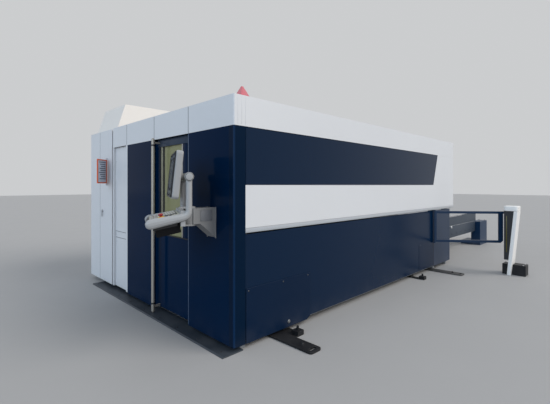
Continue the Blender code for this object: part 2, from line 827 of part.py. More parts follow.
def make_front(root):
    """Fascia, fixed panels and recessed service panel of the door face."""
    fascia_end = CABIN_DEPTH - SEAT
    wrap = rounded([(CORNER_SIDE, 0.0), (0.0, 0.0), (0.0, fascia_end)], [0, CORNER_RADIUS, 0])
    path = [(CORNER_SIDE, PAN_DEPTH)] + wrap + [(PAN_DEPTH, fascia_end)]
    form = prism(folded(path[::-1]), "Z", FASCIA_BOTTOM, CABIN_HEIGHT)
    seams = [
        groove("Y", y, FASCIA_BOTTOM - OVERRUN, CABIN_HEIGHT + OVERRUN, 0.0)
        for y in (DOOR_LOW, FASCIA_SEAM_MID, LEFT_PANEL_END + STRIP_WIDTH / 2)
    ]
    add_part("front_fascia", cut(form, seams), "white paint", root)

    top = FASCIA_BOTTOM - SEAT
    right = rectangle(CORNER_FRONT + SEAT, PANEL_BOTTOM - OVERRUN, DOOR_LOW, top)
    add_part("front_panel_right", pan(right, "X", 0.0, PAN_DEPTH), "deep blue paint", root)
    left = rectangle(DOOR_HIGH, PANEL_BOTTOM - OVERRUN, LEFT_PANEL_END, top)
    add_part("front_panel_left", pan(left, "X", 0.0, FRONT_POCKET - SEAT), "deep blue paint", root)

    strip_end = LEFT_PANEL_END + STRIP_WIDTH
    post_start = CABIN_DEPTH - SERVICE_POST
    back = FRONT_POCKET - SEAT
    path = [
        (back, LEFT_PANEL_END + SEAT),
        (0.0, LEFT_PANEL_END + SEAT),
        (0.0, strip_end),
        (RECESS, strip_end),
        (RECESS, post_start),
        (0.0, post_start),
        (0.0, CABIN_DEPTH - SEAT),
        (back, CABIN_DEPTH - SEAT),
    ]
    form = prism(folded(path[::-1]), "Z", PANEL_BOTTOM, top)
    seams = [groove("Z", z, strip_end, post_start, RECESS) for z in (HATCH_LOW, HATCH_HIGH)]
    add_part("service_panel", cut(form, seams), "white paint", root)

    threshold = [
        (-THRESHOLD_REACH, 0.0),
        (FRAME_FRONT_X - FRAME_PAD / 2 - SEAT, 0.0),
        (FRAME_FRONT_X - FRAME_PAD / 2 - SEAT, THRESHOLD_HEIGHT),
        (THRESHOLD_RAMP - THRESHOLD_REACH, THRESHOLD_HEIGHT),
    ]
    form = prism(threshold, "Y", 0.0, THRESHOLD_LENGTH)
    add_part("threshold_plate", form, "black steel", root)


def make_front_door(root):
    """Sliding leaf on its top rail, with the laser-safe pane and the full-height handle bar."""
    leaf_low = DOOR_LOW - LEAF_LAP
    leaf_high = DOOR_HIGH - LEAF_LAP
    leaf_back = LEAF_SET + LEAF_THICKNESS
    rail_front = FRONT_POCKET - SEAT - RAIL_DEPTH
    rail_back = FRONT_POCKET - SEAT
    rail_bottom = FASCIA_BOTTOM + OVERRUN
    rail_top = rail_bottom + RAIL_HEIGHT
    path = [
        (rail_front + RAIL_LIP, rail_bottom),
        (rail_front, rail_bottom),
        (rail_front, rail_top),
        (rail_back, rail_top),
        (rail_back, rail_bottom),
        (rail_back - RAIL_LIP, rail_bottom),
    ]
    form = prism(folded(path[::-1]), "Y", CORNER_FRONT + POST_TUBE / 2, DOOR_HIGH - SEAT)
    add_part("door_rail", form, "sheet zinc", root)

    slide = joint_empty("front_door_slide", (0.0, leaf_low, 0.0), root)
    origin = (0.0, leaf_low, 0.0)
    opening = rectangle(leaf_low + PANE_MARGIN_LOW, PANE_BOTTOM, leaf_high - PANE_MARGIN_HIGH, PANE_TOP)
    leaf = plate([rectangle(leaf_low, LEAF_BOTTOM, leaf_high, LEAF_TOP), opening], "X", LEAF_SET, leaf_back)
    middle_x = (rail_front + rail_back) / 2
    head_bottom = rail_bottom + SHEET + SEAT
    forms = [leaf]
    for y in (leaf_low + HANGER_INSET, leaf_high - HANGER_INSET):
        stem = square_bar("Z", LEAF_TOP - OVERRUN, head_bottom + OVERRUN, middle_x, y, HANGER_STEM, HANGER_WIDTH)
        head = square_bar(
            "Z", head_bottom, head_bottom + HANGER_HEAD_HEIGHT, middle_x, y, HANGER_HEAD, HANGER_WIDTH + OVERRUN
        )
        forms += [stem, head]
    add_part("door_leaf", united(forms), "deep blue paint", slide, origin)

    pane_x = LEAF_SET + (LEAF_THICKNESS - PANE_THICKNESS) / 2
    pane = prism(shifted(opening, SEAT), "X", pane_x, pane_x + PANE_THICKNESS)
    add_part("door_window", pane, "laser glass", slide, origin)

    bar_y = leaf_high - BAR_EDGE_SET
    bar = turned([(BAR_RADIUS, BAR_BOTTOM), (BAR_RADIUS, BAR_TOP)], (-BAR_STANDOFF, bar_y, 0.0))
    forms = [bar]
    for z in (LEAF_BOTTOM + BRACKET_INSET, LEAF_TOP - BRACKET_INSET):
        bracket = block(
            (-BAR_STANDOFF, bar_y - BRACKET_WIDTH / 2, z - BRACKET_HEIGHT / 2),
            (LEAF_SET - SEAT, bar_y + BRACKET_WIDTH / 2, z + BRACKET_HEIGHT / 2),
        )
        forms.append(bracket)
    add_part("door_handle_bar", united(forms), "anodised bar", slide, origin)


def make_service_bay(root):
    """Bay shell, its two doors with lever and document sleeve, and what stands inside."""
    shell_front = PAN_DEPTH
    outer = block((shell_front, BAY_LOW_Y, PANEL_BOTTOM), (BAY_LENGTH, BAY_HIGH_Y, CABIN_HEIGHT))
    inside = block(
        (shell_front - OVERRUN, BAY_LOW_Y + BAY_WALL, PANEL_BOTTOM + BAY_WALL),
        (BAY_LENGTH - BAY_WALL, BAY_HIGH_Y - BAY_WALL, CABIN_HEIGHT - BAY_WALL),
    )
    plinth = block(
        (shell_front + BAY_PLINTH_SET, BAY_LOW_Y + BAY_PLINTH_SET, 0.0),
        (BAY_LENGTH - BAY_PLINTH_SET, BAY_HIGH_Y - BAY_PLINTH_SET, PANEL_BOTTOM + BAY_WALL / 2),
    )
    add_part("service_bay", united([cut(outer, [inside]), plinth]), "white paint", root)

    strip = block(
        (JOINT_SET, CABIN_DEPTH + SEAT, PANEL_BOTTOM),
        (BAY_LENGTH, BAY_LOW_Y - SEAT, CABIN_HEIGHT - JOINT_SET),
    )
    add_part("joint_strip", strip, "black plastic", root)

    plate_low = (BAY_LOW_Y + BAY_WALL + SEAT, PANEL_BOTTOM + BAY_WALL + SEAT)
    plate_high = (BAY_HIGH_Y - BAY_WALL - SEAT, CABIN_HEIGHT - BAY_WALL - PLATE_MARGIN)
    board = block((PLATE_X, *plate_low), (PLATE_X + SHEET, *plate_high))
    pitch = (plate_high[1] - plate_low[1]) / (DEVICE_ROWS + 1)
    forms = [board]
    for row in range(DEVICE_ROWS):
        centre = plate_low[1] + pitch * (row + 1)
        depth_share = 1.0 if row % 2 else 0.6
        forms.append(
            block(
                (PLATE_X - DEVICE_DEPTH * depth_share, plate_low[0] + DEVICE_MARGIN, centre - DEVICE_HEIGHT / 2),
                (PLATE_X + SHEET / 2, plate_high[0] - DEVICE_MARGIN * (row + 1), centre + DEVICE_HEIGHT / 2),
            )
        )
    add_part("mounting_plate", united(forms), "sheet zinc", root)

    source_y = (BAY_LOW_Y + BAY_HIGH_Y - SOURCE_WIDTH) / 2
    floor = PANEL_BOTTOM + BAY_WALL + SEAT
    body = block(
        (SOURCE_START, source_y, floor), (SOURCE_START + SOURCE_LENGTH, source_y + SOURCE_WIDTH, floor + SOURCE_HEIGHT)
    )
    span = SOURCE_HEIGHT - 2 * SOURCE_FIN_MARGIN
    slots = []
    for fin in range(SOURCE_FIN_COUNT):
        z = floor + SOURCE_FIN_MARGIN + span * (fin + 0.5) / SOURCE_FIN_COUNT
        slots.append(
            block(
                (SOURCE_START - OVERRUN, source_y + SOURCE_FIN_MARGIN, z - SOURCE_FIN_WIDTH / 2),
                (SOURCE_START + SOURCE_FIN_DEPTH, source_y + SOURCE_WIDTH - SOURCE_FIN_MARGIN, z + SOURCE_FIN_WIDTH / 2),
            )
        )
    add_part("laser_source", cut(body, slots), "pale grey paint", root)
    make_bay_doors(root)


def make_bay_doors(root):
    """The two leaves of the service bay, the quarter-turn lever and the swinging document sleeve."""
    split = BAY_LOW_Y + BAY_SPLIT
    top = CABIN_HEIGHT - BAY_DOOR_TOP_GAP
    back = PAN_DEPTH - SEAT
    right_hinge = joint_empty("cabinet_right_hinge", (0.0, BAY_LOW_Y, 0.0), root)
    origin = (0.0, BAY_LOW_Y, 0.0)
    leaf = pan(rectangle(BAY_LOW_Y, PANEL_BOTTOM, split - DOOR_SPLIT_GAP / 2, top), "X", 0.0, back)
    lugs = [
        block(
            (-SLEEVE_OFFSET - SLEEVE_LUG / 2, SLEEVE_HINGE_Y - SLEEVE_LUG / 2, z),
            (SHEET / 2, SLEEVE_HINGE_Y + SLEEVE_LUG / 2, z + SLEEVE_LUG_HEIGHT),
        )
        for z in (SLEEVE_BOTTOM - SLEEVE_LUG_HEIGHT - SEAT, SLEEVE_BOTTOM + SLEEVE_HEIGHT + SEAT)
    ]
    add_part("cabinet_door_right", united([leaf, *lugs]), "white paint", right_hinge, origin)

    left_hinge = joint_empty("cabinet_left_hinge", (0.0, BAY_HIGH_Y, 0.0), root)
    leaf = pan(rectangle(split + DOOR_SPLIT_GAP / 2, PANEL_BOTTOM, BAY_HIGH_Y, top), "X", 0.0, back)
    add_part("cabinet_door_left", leaf, "white paint", left_hinge, (0.0, BAY_HIGH_Y, 0.0))

    lever_y = split - LEVER_Y_SET
    turn = joint_empty("cabinet_lever_turn", (0.0, lever_y - BAY_LOW_Y, LEVER_Z), right_hinge)
    boss_profile = [
        (LEVER_BOSS_RADIUS, -SEAT),
        (LEVER_BOSS_RADIUS, SEAM_DEPTH - LEVER_BOSS_HEIGHT),
        (LEVER_BOSS_RADIUS - SEAM_DEPTH, -LEVER_BOSS_HEIGHT),
    ]
    boss = turned(boss_profile, (0.0, 0.0, 0.0), "X")
    arm_outline = rounded(
        rectangle(-LEVER_WIDTH / 2, -LEVER_LENGTH, LEVER_WIDTH / 2, LEVER_WIDTH / 2), LEVER_WIDTH / 2 - SEAT
    )
    arm_face = SEAM_DEPTH - LEVER_BOSS_HEIGHT
    arm = prism(arm_outline, "X", arm_face - SEAM_DEPTH / 2, arm_face + LEVER_THICKNESS)
    add_part("cabinet_lever", united([boss, arm]), "black plastic", turn)

    swing = joint_empty(
        "document_sleeve_hinge",
        (-SLEEVE_OFFSET, SLEEVE_HINGE_Y - BAY_LOW_Y, 0.0),
        right_hinge,
        (0.0, 0.0, math.radians(SLEEVE_OPEN_DEG)),
    )
    sheet = rectangle(-SLEEVE_DEPTH / 2, SLEEVE_BOTTOM, SLEEVE_WIDTH, SLEEVE_BOTTOM + SLEEVE_HEIGHT)
    form = pan(sheet, "X", SLEEVE_DEPTH / 2, -SLEEVE_DEPTH / 2, SLEEVE_BORDER, SLEEVE_SKIN)
    add_part("document_sleeve", form, "orange frame", swing)


def make_roof(root):
    """Roof panel, hood over the service bay and the signal beacon."""
    inset = SHEET + SEAT
    roof = rectangle(inset, PAN_DEPTH + SEAT, CABIN_LENGTH - inset, CABIN_DEPTH - inset)
    form = pan(roof, "Z", ROOF_TOP, FRAME_TOP + SEAT)
    add_part("roof_panel", form, "pale grey paint", root)

    path = [
        (HOOD_START, CABIN_HEIGHT + SEAT),
        (HOOD_START + HOOD_SLANT, CABIN_HEIGHT + HOOD_HEIGHT),
        (HOOD_START + HOOD_LENGTH - HOOD_CHAMFER, CABIN_HEIGHT + HOOD_HEIGHT),
        (HOOD_START + HOOD_LENGTH, CABIN_HEIGHT + HOOD_HEIGHT - HOOD_CHAMFER),
        (HOOD_START + HOOD_LENGTH, CABIN_HEIGHT + SEAT),
    ]
    solid = prism(path, "Y", BAY_LOW_Y + SEAT, HOOD_HIGH_Y)
    hollow = shifted(path, SHEET)
    lowest = min(z for x, z in hollow)
    hollow = [(x, z - OVERRUN if z == lowest else z) for x, z in hollow]
    hollow = [(x, CABIN_HEIGHT - OVERRUN if z < CABIN_HEIGHT + 2 * SHEET else z) for x, z in hollow]
    inside = prism(hollow, "Y", BAY_LOW_Y + SHEET, HOOD_HIGH_Y - SHEET)
    add_part("roof_hood", cut(solid, [inside]), "white paint", root)

    half = BEACON_SIDE / 2
    tip = half * BEACON_TIP_SHARE
    rings = [
        (half, ROOF_TOP + SEAT),
        (half, ROOF_TOP + BEACON_BASE),
        (half - BEACON_BASE / 2, ROOF_TOP + BEACON_BASE),
        (tip, ROOF_TOP + BEACON_APEX),
    ]
    loops = [
        [(BEACON_X + dx * reach, BEACON_Y + dy * reach, z) for dx, dy in ((-1, -1), (1, -1), (1, 1), (-1, 1))]
        for reach, z in rings
    ]
    add_part("signal_beacon", lofted(loops), "red lens", root)


def make_cabin_end(root):
    """Lower end wall with the pallet portal, the housing above it, the shutter, and the back wall."""
    wall_low = PAN_DEPTH + SEAT
    wall_high = CABIN_DEPTH - PAN_DEPTH - SEAT
    portal_high = CABIN_DEPTH - PORTAL_LOW_Y
    outline = [
        (wall_low, PANEL_BOTTOM),
        (wall_high, PANEL_BOTTOM),
        (wall_high, END_WALL_TOP),
        (portal_high, END_WALL_TOP),
        (portal_high, PORTAL_SILL),
        (PORTAL_LOW_Y, PORTAL_SILL),
        (PORTAL_LOW_Y, END_WALL_TOP),
        (wall_low, END_WALL_TOP),
    ]
    wall = prism(outline, "X", END_WALL_X - PAN_DEPTH, END_WALL_X)
    shutter_low = PORTAL_LOW_Y - SHUTTER_LAP
    guides = []
    for low in (shutter_low - SEAT - GUIDE_WIDTH, CABIN_DEPTH - shutter_low + SEAT):
        guides.append(
            block((END_WALL_X - PAN_DEPTH / 2, low, GUIDE_BOTTOM), (END_WALL_X + GUIDE_DEPTH, low + GUIDE_WIDTH, GUIDE_TOP))
        )
    add_part("end_wall", united([wall, *guides]), "slate paint", root)

    housing_end = CABIN_LENGTH
    path = [
        (SOFFIT_START, BAND_BOTTOM),
        (housing_end, BAND_BOTTOM),
        (housing_end, FRAME_TOP),
        (housing_end - HOUSING_TOP_RETURN, FRAME_TOP),
    ]
    form = prism(folded(path), "Y", PAN_DEPTH + SEAT, CABIN_DEPTH - PAN_DEPTH - SEAT)
    rail_reach = FRAME_NEAR_Y + RAIL_TUBE / 2 + SEAT
    rail_end = CABIN_LENGTH - PAN_DEPTH + SEAT
    top_z = FRAME_TOP - RAIL_TUBE / 2 - SHEET
    band_z = BAND_BOTTOM + PAN_DEPTH
    notches = []
    for low, high in ((0.0, rail_reach), (CABIN_DEPTH - rail_reach, CABIN_DEPTH)):
        for z in (top_z, band_z):
            half = RAIL_TUBE / 2 + SEAT
            notches.append(block((SOFFIT_START - OVERRUN, low, z - half), (rail_end, high, z + half)))
    add_part("rear_housing", cut(form, notches), "white paint", root)

    slide = joint_empty("pallet_shutter_slide", (END_WALL_X, CENTRE_Y, SHUTTER_REST_Z), root)
    gap = (GUIDE_DEPTH - SHUTTER_THICKNESS) / 2
    face = END_WALL_X + gap
    leaf = block(
        (face, shutter_low, SHUTTER_REST_Z), (face + SHUTTER_THICKNESS, CABIN_DEPTH - shutter_low, SHUTTER_REST_Z + SHUTTER_HEIGHT)
    )
    ribs = []
    for share in (0.25, 0.5, 0.75):
        z = SHUTTER_REST_Z + SHUTTER_HEIGHT * share
        ribs.append(
            block(
                (face - OVERRUN, shutter_low - OVERRUN, z - SHUTTER_RIB / 2),
                (face + SEAM_DEPTH, CABIN_DEPTH - shutter_low + OVERRUN, z + SHUTTER_RIB / 2),
            )
        )
    origin = (END_WALL_X, CENTRE_Y, SHUTTER_REST_Z)
    add_part("pallet_shutter", cut(leaf, ribs), "sheet zinc", slide, origin)

    back = [
        (FRONT_POCKET, PANEL_BOTTOM),
        (END_WALL_X, PANEL_BOTTOM),
        (END_WALL_X, BAND_BOTTOM),
        (CABIN_LENGTH, BAND_BOTTOM),
        (CABIN_LENGTH, FRAME_TOP),
        (FRONT_POCKET, FRAME_TOP),
    ]
    add_part("back_wall", pan(back, "Y", CABIN_DEPTH, CABIN_DEPTH - PAN_DEPTH), "white paint", root)


def make_bed(root):
    """Welded bed: two long beams with pallet ledges and linear guideways, cross members and pads."""
    inner = BED_BEAM_Y + BED_BEAM_WIDTH
    rail_mid = BED_BEAM_Y + GUIDEWAY_SET
    half = GUIDEWAY_WIDTH / 2
    waist = GUIDEWAY_WAIST / 2
    outline = [
        (BED_BEAM_Y, BED_BOTTOM),
        (inner, BED_BOTTOM),
        (inner, PALLET_RAIL_Z - LEDGE_THICKNESS),
        (inner + LEDGE_REACH, PALLET_RAIL_Z - LEDGE_THICKNESS),
        (inner + LEDGE_REACH, PALLET_RAIL_Z),
        (inner, PALLET_RAIL_Z),
        (inner, BED_TOP),
        (rail_mid + waist, BED_TOP),
        (rail_mid + waist, BED_TOP + GUIDEWAY_HEIGHT / 2),
        (rail_mid + half, BED_TOP + GUIDEWAY_HEIGHT / 2),
        (rail_mid + half, BED_TOP + GUIDEWAY_HEIGHT),
        (rail_mid - half, BED_TOP + GUIDEWAY_HEIGHT),
        (rail_mid - half, BED_TOP + GUIDEWAY_HEIGHT / 2),
        (rail_mid - waist, BED_TOP + GUIDEWAY_HEIGHT / 2),
        (rail_mid - waist, BED_TOP),
        (BED_BEAM_Y, BED_TOP),
    ]
    near = prism(outline, "X", BED_START, BED_END)
    ledge_low = (BED_END - OVERRUN, inner - OVERRUN, PALLET_RAIL_Z - LEDGE_THICKNESS)
    ledge = block(ledge_low, (LEDGE_END, inner + LEDGE_REACH, PALLET_RAIL_Z))
    forms = [near, mirrored_y(near), ledge, mirrored_y(ledge)]
    pitch = (BED_END - BED_START - BED_CROSS_WIDTH * 2) / (BED_CROSS_COUNT - 1)
    cross_z = BED_BOTTOM + OVERRUN + BED_CROSS_HEIGHT / 2
    for step in range(BED_CROSS_COUNT):
        x = BED_START + BED_CROSS_WIDTH + pitch * step
        middle = inner - BED_BEAM_WIDTH / 2
        forms.append(square_bar("Y", middle, CABIN_DEPTH - middle, x, cross_z, BED_CROSS_WIDTH, BED_CROSS_HEIGHT))
    pad_y = BED_BEAM_Y + BED_BEAM_WIDTH / 2
    for x in (BED_START + BED_PAD, (BED_START + BED_END) / 2, BED_END - BED_PAD):
        for y in (pad_y, CABIN_DEPTH - pad_y):
            forms.append(square_bar("Z", 0.0, BED_BOTTOM + OVERRUN, x, y, BED_PAD))
    add_part("bed_frame", united(forms), "frame paint", root)


def make_gantry(root):
    """Gantry beam on the bed's guideways, the carriage on its front face, and the cutting head."""
    slide = joint_empty("gantry_slide", (GANTRY_REST_X, CENTRE_Y, BED_TOP), root)
    origin = (GANTRY_REST_X, CENTRE_Y, BED_TOP)
    back = GANTRY_REST_X + GANTRY_DEPTH / 2
    top = GANTRY_BEAM_BOTTOM + GANTRY_BEAM_HEIGHT
    outline = [
        (GANTRY_FRONT_X, GANTRY_BEAM_BOTTOM),
        (back - GANTRY_SLOPE, GANTRY_BEAM_BOTTOM),
        (back, GANTRY_BEAM_BOTTOM + GANTRY_SLOPE),
        (back, top - GANTRY_SLOPE),
        (back - GANTRY_SLOPE, top),
        (GANTRY_FRONT_X, top),
    ]
    rail_mid = BED_BEAM_Y + GUIDEWAY_SET
    beam = prism(outline, "Y", BED_BEAM_Y + SHEET, CABIN_DEPTH - BED_BEAM_Y - SHEET)
    forms = [beam]
    groove_half = GUIDEWAY_WIDTH / 2 + SEAT
    shoe_half = BED_BEAM_WIDTH / 2 - SHEET
    shoe_top = GANTRY_BEAM_BOTTOM + OVERRUN
    for mid in (rail_mid, CABIN_DEPTH - rail_mid):
        saddle = [
            (mid - shoe_half, BED_TOP + SHEET),
            (mid - groove_half, BED_TOP + SHEET),
            (mid - groove_half, BED_TOP + GUIDEWAY_HEIGHT + SEAT),
            (mid + groove_half, BED_TOP + GUIDEWAY_HEIGHT + SEAT),
            (mid + groove_half, BED_TOP + SHEET),
            (mid + shoe_half, BED_TOP + SHEET),
            (mid + shoe_half, shoe_top),
            (mid - shoe_half, shoe_top),
        ]
        start = GANTRY_REST_X - GANTRY_SHOE_LENGTH / 2
        forms.append(prism(saddle, "X", start, start + GANTRY_SHOE_LENGTH))
    rail_z = GANTRY_BEAM_BOTTOM + GANTRY_BEAM_HEIGHT / 2
    for z in (rail_z - CROSS_RAIL_PITCH / 2, rail_z + CROSS_RAIL_PITCH / 2):
        forms.append(
            block(
                (GANTRY_FRONT_X - CROSS_RAIL_DEPTH, BED_BEAM_Y + BED_BEAM_WIDTH, z - CROSS_RAIL_WIDTH / 2),
                (GANTRY_FRONT_X + SHEET, CABIN_DEPTH - BED_BEAM_Y - BED_BEAM_WIDTH, z + CROSS_RAIL_WIDTH / 2),
            )
        )
    add_part("gantry_beam", united(forms), "slate paint", slide, origin)

    ride = joint_empty("carriage_slide", (0.0, CARRIAGE_REST_Y - CENTRE_Y, 0.0), slide)
    ride_origin = (GANTRY_REST_X, CARRIAGE_REST_Y, BED_TOP)
    half = CARRIAGE_WIDTH / 2
    low_z = GANTRY_BEAM_BOTTOM - OVERRUN
    high_z = top + CARRIAGE_RISE
    face = [
        (CARRIAGE_REST_Y - half, low_z),
        (CARRIAGE_REST_Y + half, low_z),
        (CARRIAGE_REST_Y + half, top),
        (CARRIAGE_REST_Y + half / 2, high_z),
        (CARRIAGE_REST_Y - half / 2, high_z),
        (CARRIAGE_REST_Y - half, top),
    ]
    backplate = prism(face, "X", CARRIAGE_FRONT_X, CARRIAGE_BACK_X)
    way = HEAD_BACK_WIDTH / 2 + SEAT
    cheek_front = HEAD_X
    forms = [backplate]
    for side in (-1, 1):
        edges = sorted((CARRIAGE_REST_Y + side * way, CARRIAGE_REST_Y + side * (way + CARRIAGE_PLATE / 2)))
        forms.append(block((cheek_front, edges[0], low_z + OVERRUN), (CARRIAGE_FRONT_X + SHEET, edges[1], top)))
    add_part("gantry_carriage", united(forms), "pale grey paint", ride, ride_origin)

    plunge = joint_empty("cutting_head_slide", (HEAD_X - GANTRY_REST_X, 0.0, HEAD_REST_Z - BED_TOP), ride)
    head_origin = (HEAD_X, CARRIAGE_REST_Y, HEAD_REST_Z)
    body_low = HEAD_REST_Z + HEAD_BODY_LOW
    profile = [
        (NOZZLE_RADIUS, HEAD_REST_Z),
        (NOZZLE_CONE, HEAD_REST_Z + NOZZLE_CONE * 2),
        (NOZZLE_CONE, HEAD_REST_Z + HEAD_BODY_LOW / 2),
        (HEAD_RADIUS, body_low),
        (HEAD_RADIUS, body_low + HEAD_BODY_HEIGHT),
        (HEAD_RADIUS - NOZZLE_RADIUS, body_low + HEAD_BODY_HEIGHT + NOZZLE_RADIUS),
    ]
    column = turned(profile, (HEAD_X, CARRIAGE_REST_Y, 0.0))
    column_shift = HEAD_RADIUS + SHEET
    bmesh.ops.translate(column, verts=column.verts, vec=(-column_shift, 0.0, 0.0))
    spine = block(
        (HEAD_X - column_shift, CARRIAGE_REST_Y - HEAD_BACK_WIDTH / 2, body_low),
        (CARRIAGE_FRONT_X - SEAT, CARRIAGE_REST_Y + HEAD_BACK_WIDTH / 2, body_low + HEAD_BODY_HEIGHT - SHEET),
    )
    add_part("cutting_head", united([spine, column]), "bright steel", plunge, head_origin)


def slat_outline(low_y, high_y, bottom, tip):
    """Side view of one support slat: a strip with a row of pointed teeth along its top."""
    pitch = (high_y - low_y) / SLAT_TEETH
    points = [(low_y, bottom), (high_y, bottom)]
    for tooth in range(SLAT_TEETH, 0, -1):
        right = low_y + pitch * tooth
        points += [(right, tip - SLAT_TOOTH), (right - pitch / 2, tip)]
    return points + [(low_y, tip - SLAT_TOOTH)]


def pallet_form():
    """One pallet: a rectangular tube frame, toothed slats across it and rollers on its sides."""
    low_x, high_x = PALLET_START, PALLET_START + PALLET_LENGTH
    low_y, high_y = CENTRE_Y - PALLET_HALF_WIDTH, CENTRE_Y + PALLET_HALF_WIDTH
    bottom = PALLET_RAIL_Z + PALLET_BOTTOM
    outer = rectangle(low_x, low_y, high_x, high_y)
    frame = plate([outer, shifted(outer, PALLET_RAIL)], "Z", bottom, bottom + PALLET_HEIGHT)
    tip = PALLET_FRAME_TOP + SLAT_TOOTH
    outline = slat_outline(low_y + PALLET_RAIL / 2, high_y - PALLET_RAIL / 2, tip - SLAT_TOOTH - SLAT_DROP, tip)
    pitch = (PALLET_LENGTH - 2 * PALLET_RAIL) / SLAT_COUNT
    slats = []
    for step in range(SLAT_COUNT):
        x = low_x + PALLET_RAIL + pitch * (step + 0.5)
        slats.append(prism(outline, "X", x - SLAT_THICKNESS / 2, x + SLAT_THICKNESS / 2))
    rollers = []
    roller_z = PALLET_RAIL_Z + SEAT + ROLLER_RADIUS
    outside = low_y - ROLLER_GAP - ROLLER_WIDTH
    for step in range(ROLLER_PAIRS):
        x = low_x + PALLET_LENGTH / 2 + ROLLER_PITCH * (step - (ROLLER_PAIRS - 1) / 2)
        profile = [
            (ROLLER_RADIUS, outside),
            (ROLLER_RADIUS, outside + ROLLER_WIDTH),
            (ROLLER_AXLE, outside + ROLLER_WIDTH),
            (ROLLER_AXLE, low_y + PALLET_RAIL / 2),
        ]
        wheel = turned(profile, (x, 0.0, roller_z), "Y", ROLLER_STEPS)
        rollers += [wheel, mirrored_y(wheel)]
    return united([frame, gathered(slats), gathered(rollers)])


def make_pallets(root, lift):
    """The upper pallet on the bed and its twin on the changer's lower level."""
    slide = joint_empty("pallet_upper_slide", (PALLET_START, CENTRE_Y, PALLET_RAIL_Z), root)
    origin = (PALLET_START, CENTRE_Y, PALLET_RAIL_Z)
    upper = add_part("pallet_upper", pallet_form(), "bright steel", slide, origin)
    lower = bpy.data.objects.new("pallet_lower", upper.data.copy())
    bpy.context.scene.collection.objects.link(lower)
    lower.parent = lift
    lower.location = Vector((PALLET_START + PALLET_TRAVEL, CENTRE_Y, PALLET_RAIL_Z - LEVEL_STEP)) - lift.location
    dress(lower, "bright steel")


def make_changer(root):
    """Lifting frame with two rail levels, its floor base with ram sleeves, and the two end blocks."""
    web_out = LIFT_OUTER_Y + LIFT_UPPER_SET
    web_in = web_out + LIFT_WEB
    ledge_in = BED_BEAM_Y + BED_BEAM_WIDTH + LEDGE_REACH
    lower_rail = PALLET_RAIL_Z - LEVEL_STEP
    outline = [
        (LIFT_OUTER_Y, LIFT_BOTTOM_Z),
        (web_in, LIFT_BOTTOM_Z),
        (web_in, lower_rail - LIFT_LEDGE),
        (ledge_in, lower_rail - LIFT_LEDGE),
        (ledge_in, lower_rail),
        (web_in, lower_rail),
        (web_in, PALLET_RAIL_Z - LIFT_LEDGE),
        (ledge_in, PALLET_RAIL_Z - LIFT_LEDGE),
        (ledge_in, PALLET_RAIL_Z),
        (web_in, PALLET_RAIL_Z),
        (web_in, LIFT_TOP_Z),
        (web_out, LIFT_TOP_Z),
        (web_out, LIFT_SPLIT_Z),
        (LIFT_OUTER_Y, LIFT_SPLIT_Z),
    ]
    lift = joint_empty("changer_lift_slide", (LIFT_START, CENTRE_Y, LIFT_BOTTOM_Z), root)
    origin = (LIFT_START, CENTRE_Y, LIFT_BOTTOM_Z)
    upper = [point for point in outline if point[1] > lower_rail] + [(web_in, LIFT_SPLIT_Z)]
    upper = [(y, z) for y, z in upper if y > LIFT_OUTER_Y]
    near = united(
        [
            prism(outline, "X", LIFT_START, BLOCK_START - LIFT_CLEARANCE),
            prism(upper, "X", LIFT_END - LIFT_CROSS_WIDTH * 2, LIFT_END),
        ]
    )
    forms = [near, mirrored_y(near)]
    cross_bottom = LIFT_BOTTOM_Z + OVERRUN
    cross_z = cross_bottom + LIFT_CROSS_HEIGHT / 2
    cross_places = [LIFT_CROSS_START + LIFT_CROSS_PITCH * step for step in range(LIFT_CROSS_COUNT)]
    middle_y = web_out + LIFT_WEB / 2
    for x in cross_places:
        forms.append(
            square_bar("Y", middle_y, CABIN_DEPTH - middle_y, x, cross_z, LIFT_CROSS_WIDTH, LIFT_CROSS_HEIGHT)
        )
    ram_places = (cross_places[0], cross_places[-1])
    ram_bottom = BASE_BEAM_HEIGHT + RAM_FLOOR_GAP
    for x in ram_places:
        forms.append(square_bar("Z", ram_bottom, cross_z, x, CENTRE_Y, RAM_SIDE))
    add_part("changer_lift", united(forms), "slate paint", lift, origin)

    bore = RAM_SIDE + 2 * RAM_CLEARANCE
    sleeve_side = bore + 2 * SLEEVE_WALL
    forms = [
        block(
            (END_WALL_X + SEAT, CENTRE_Y - BASE_BEAM_WIDTH / 2, 0.0),
            (BASE_BEAM_END, CENTRE_Y + BASE_BEAM_WIDTH / 2, BASE_BEAM_HEIGHT),
        )
    ]
    for x in ram_places:
        forms.append(square_bar("Z", BASE_BEAM_HEIGHT - OVERRUN, cross_bottom - SEAT, x, CENTRE_Y, sleeve_side))
    bores = [square_bar("Z", BASE_BEAM_HEIGHT, cross_bottom + OVERRUN, x, CENTRE_Y, bore) for x in ram_places]
    add_part("lift_base", cut(united(forms), bores), "black steel", root)

    for name, low, high, foot_low, foot_high in (
        ("lift_block_near", BLOCK_LOW_Y, BLOCK_HIGH_Y, BLOCK_LOW_Y, BLOCK_LOW_Y + BLOCK_FOOT_REACH),
        (
            "lift_block_far",
            CABIN_DEPTH - BLOCK_HIGH_Y,
            CABIN_DEPTH - BLOCK_LOW_Y,
            CABIN_DEPTH - BLOCK_LOW_Y - BLOCK_FOOT_REACH,
            CABIN_DEPTH - BLOCK_LOW_Y,
        ),
    ):
        body = bevelled(block((BLOCK_START, low, BLOCK_BOTTOM - OVERRUN), (BLOCK_END, high, BLOCK_TOP)), BLOCK_BEVEL)
        foot = block((BLOCK_START, foot_low, 0.0), (BLOCK_END, foot_high, BLOCK_BOTTOM))
        add_part(name, united([foot, body]), "deep blue paint", root)
    return lift


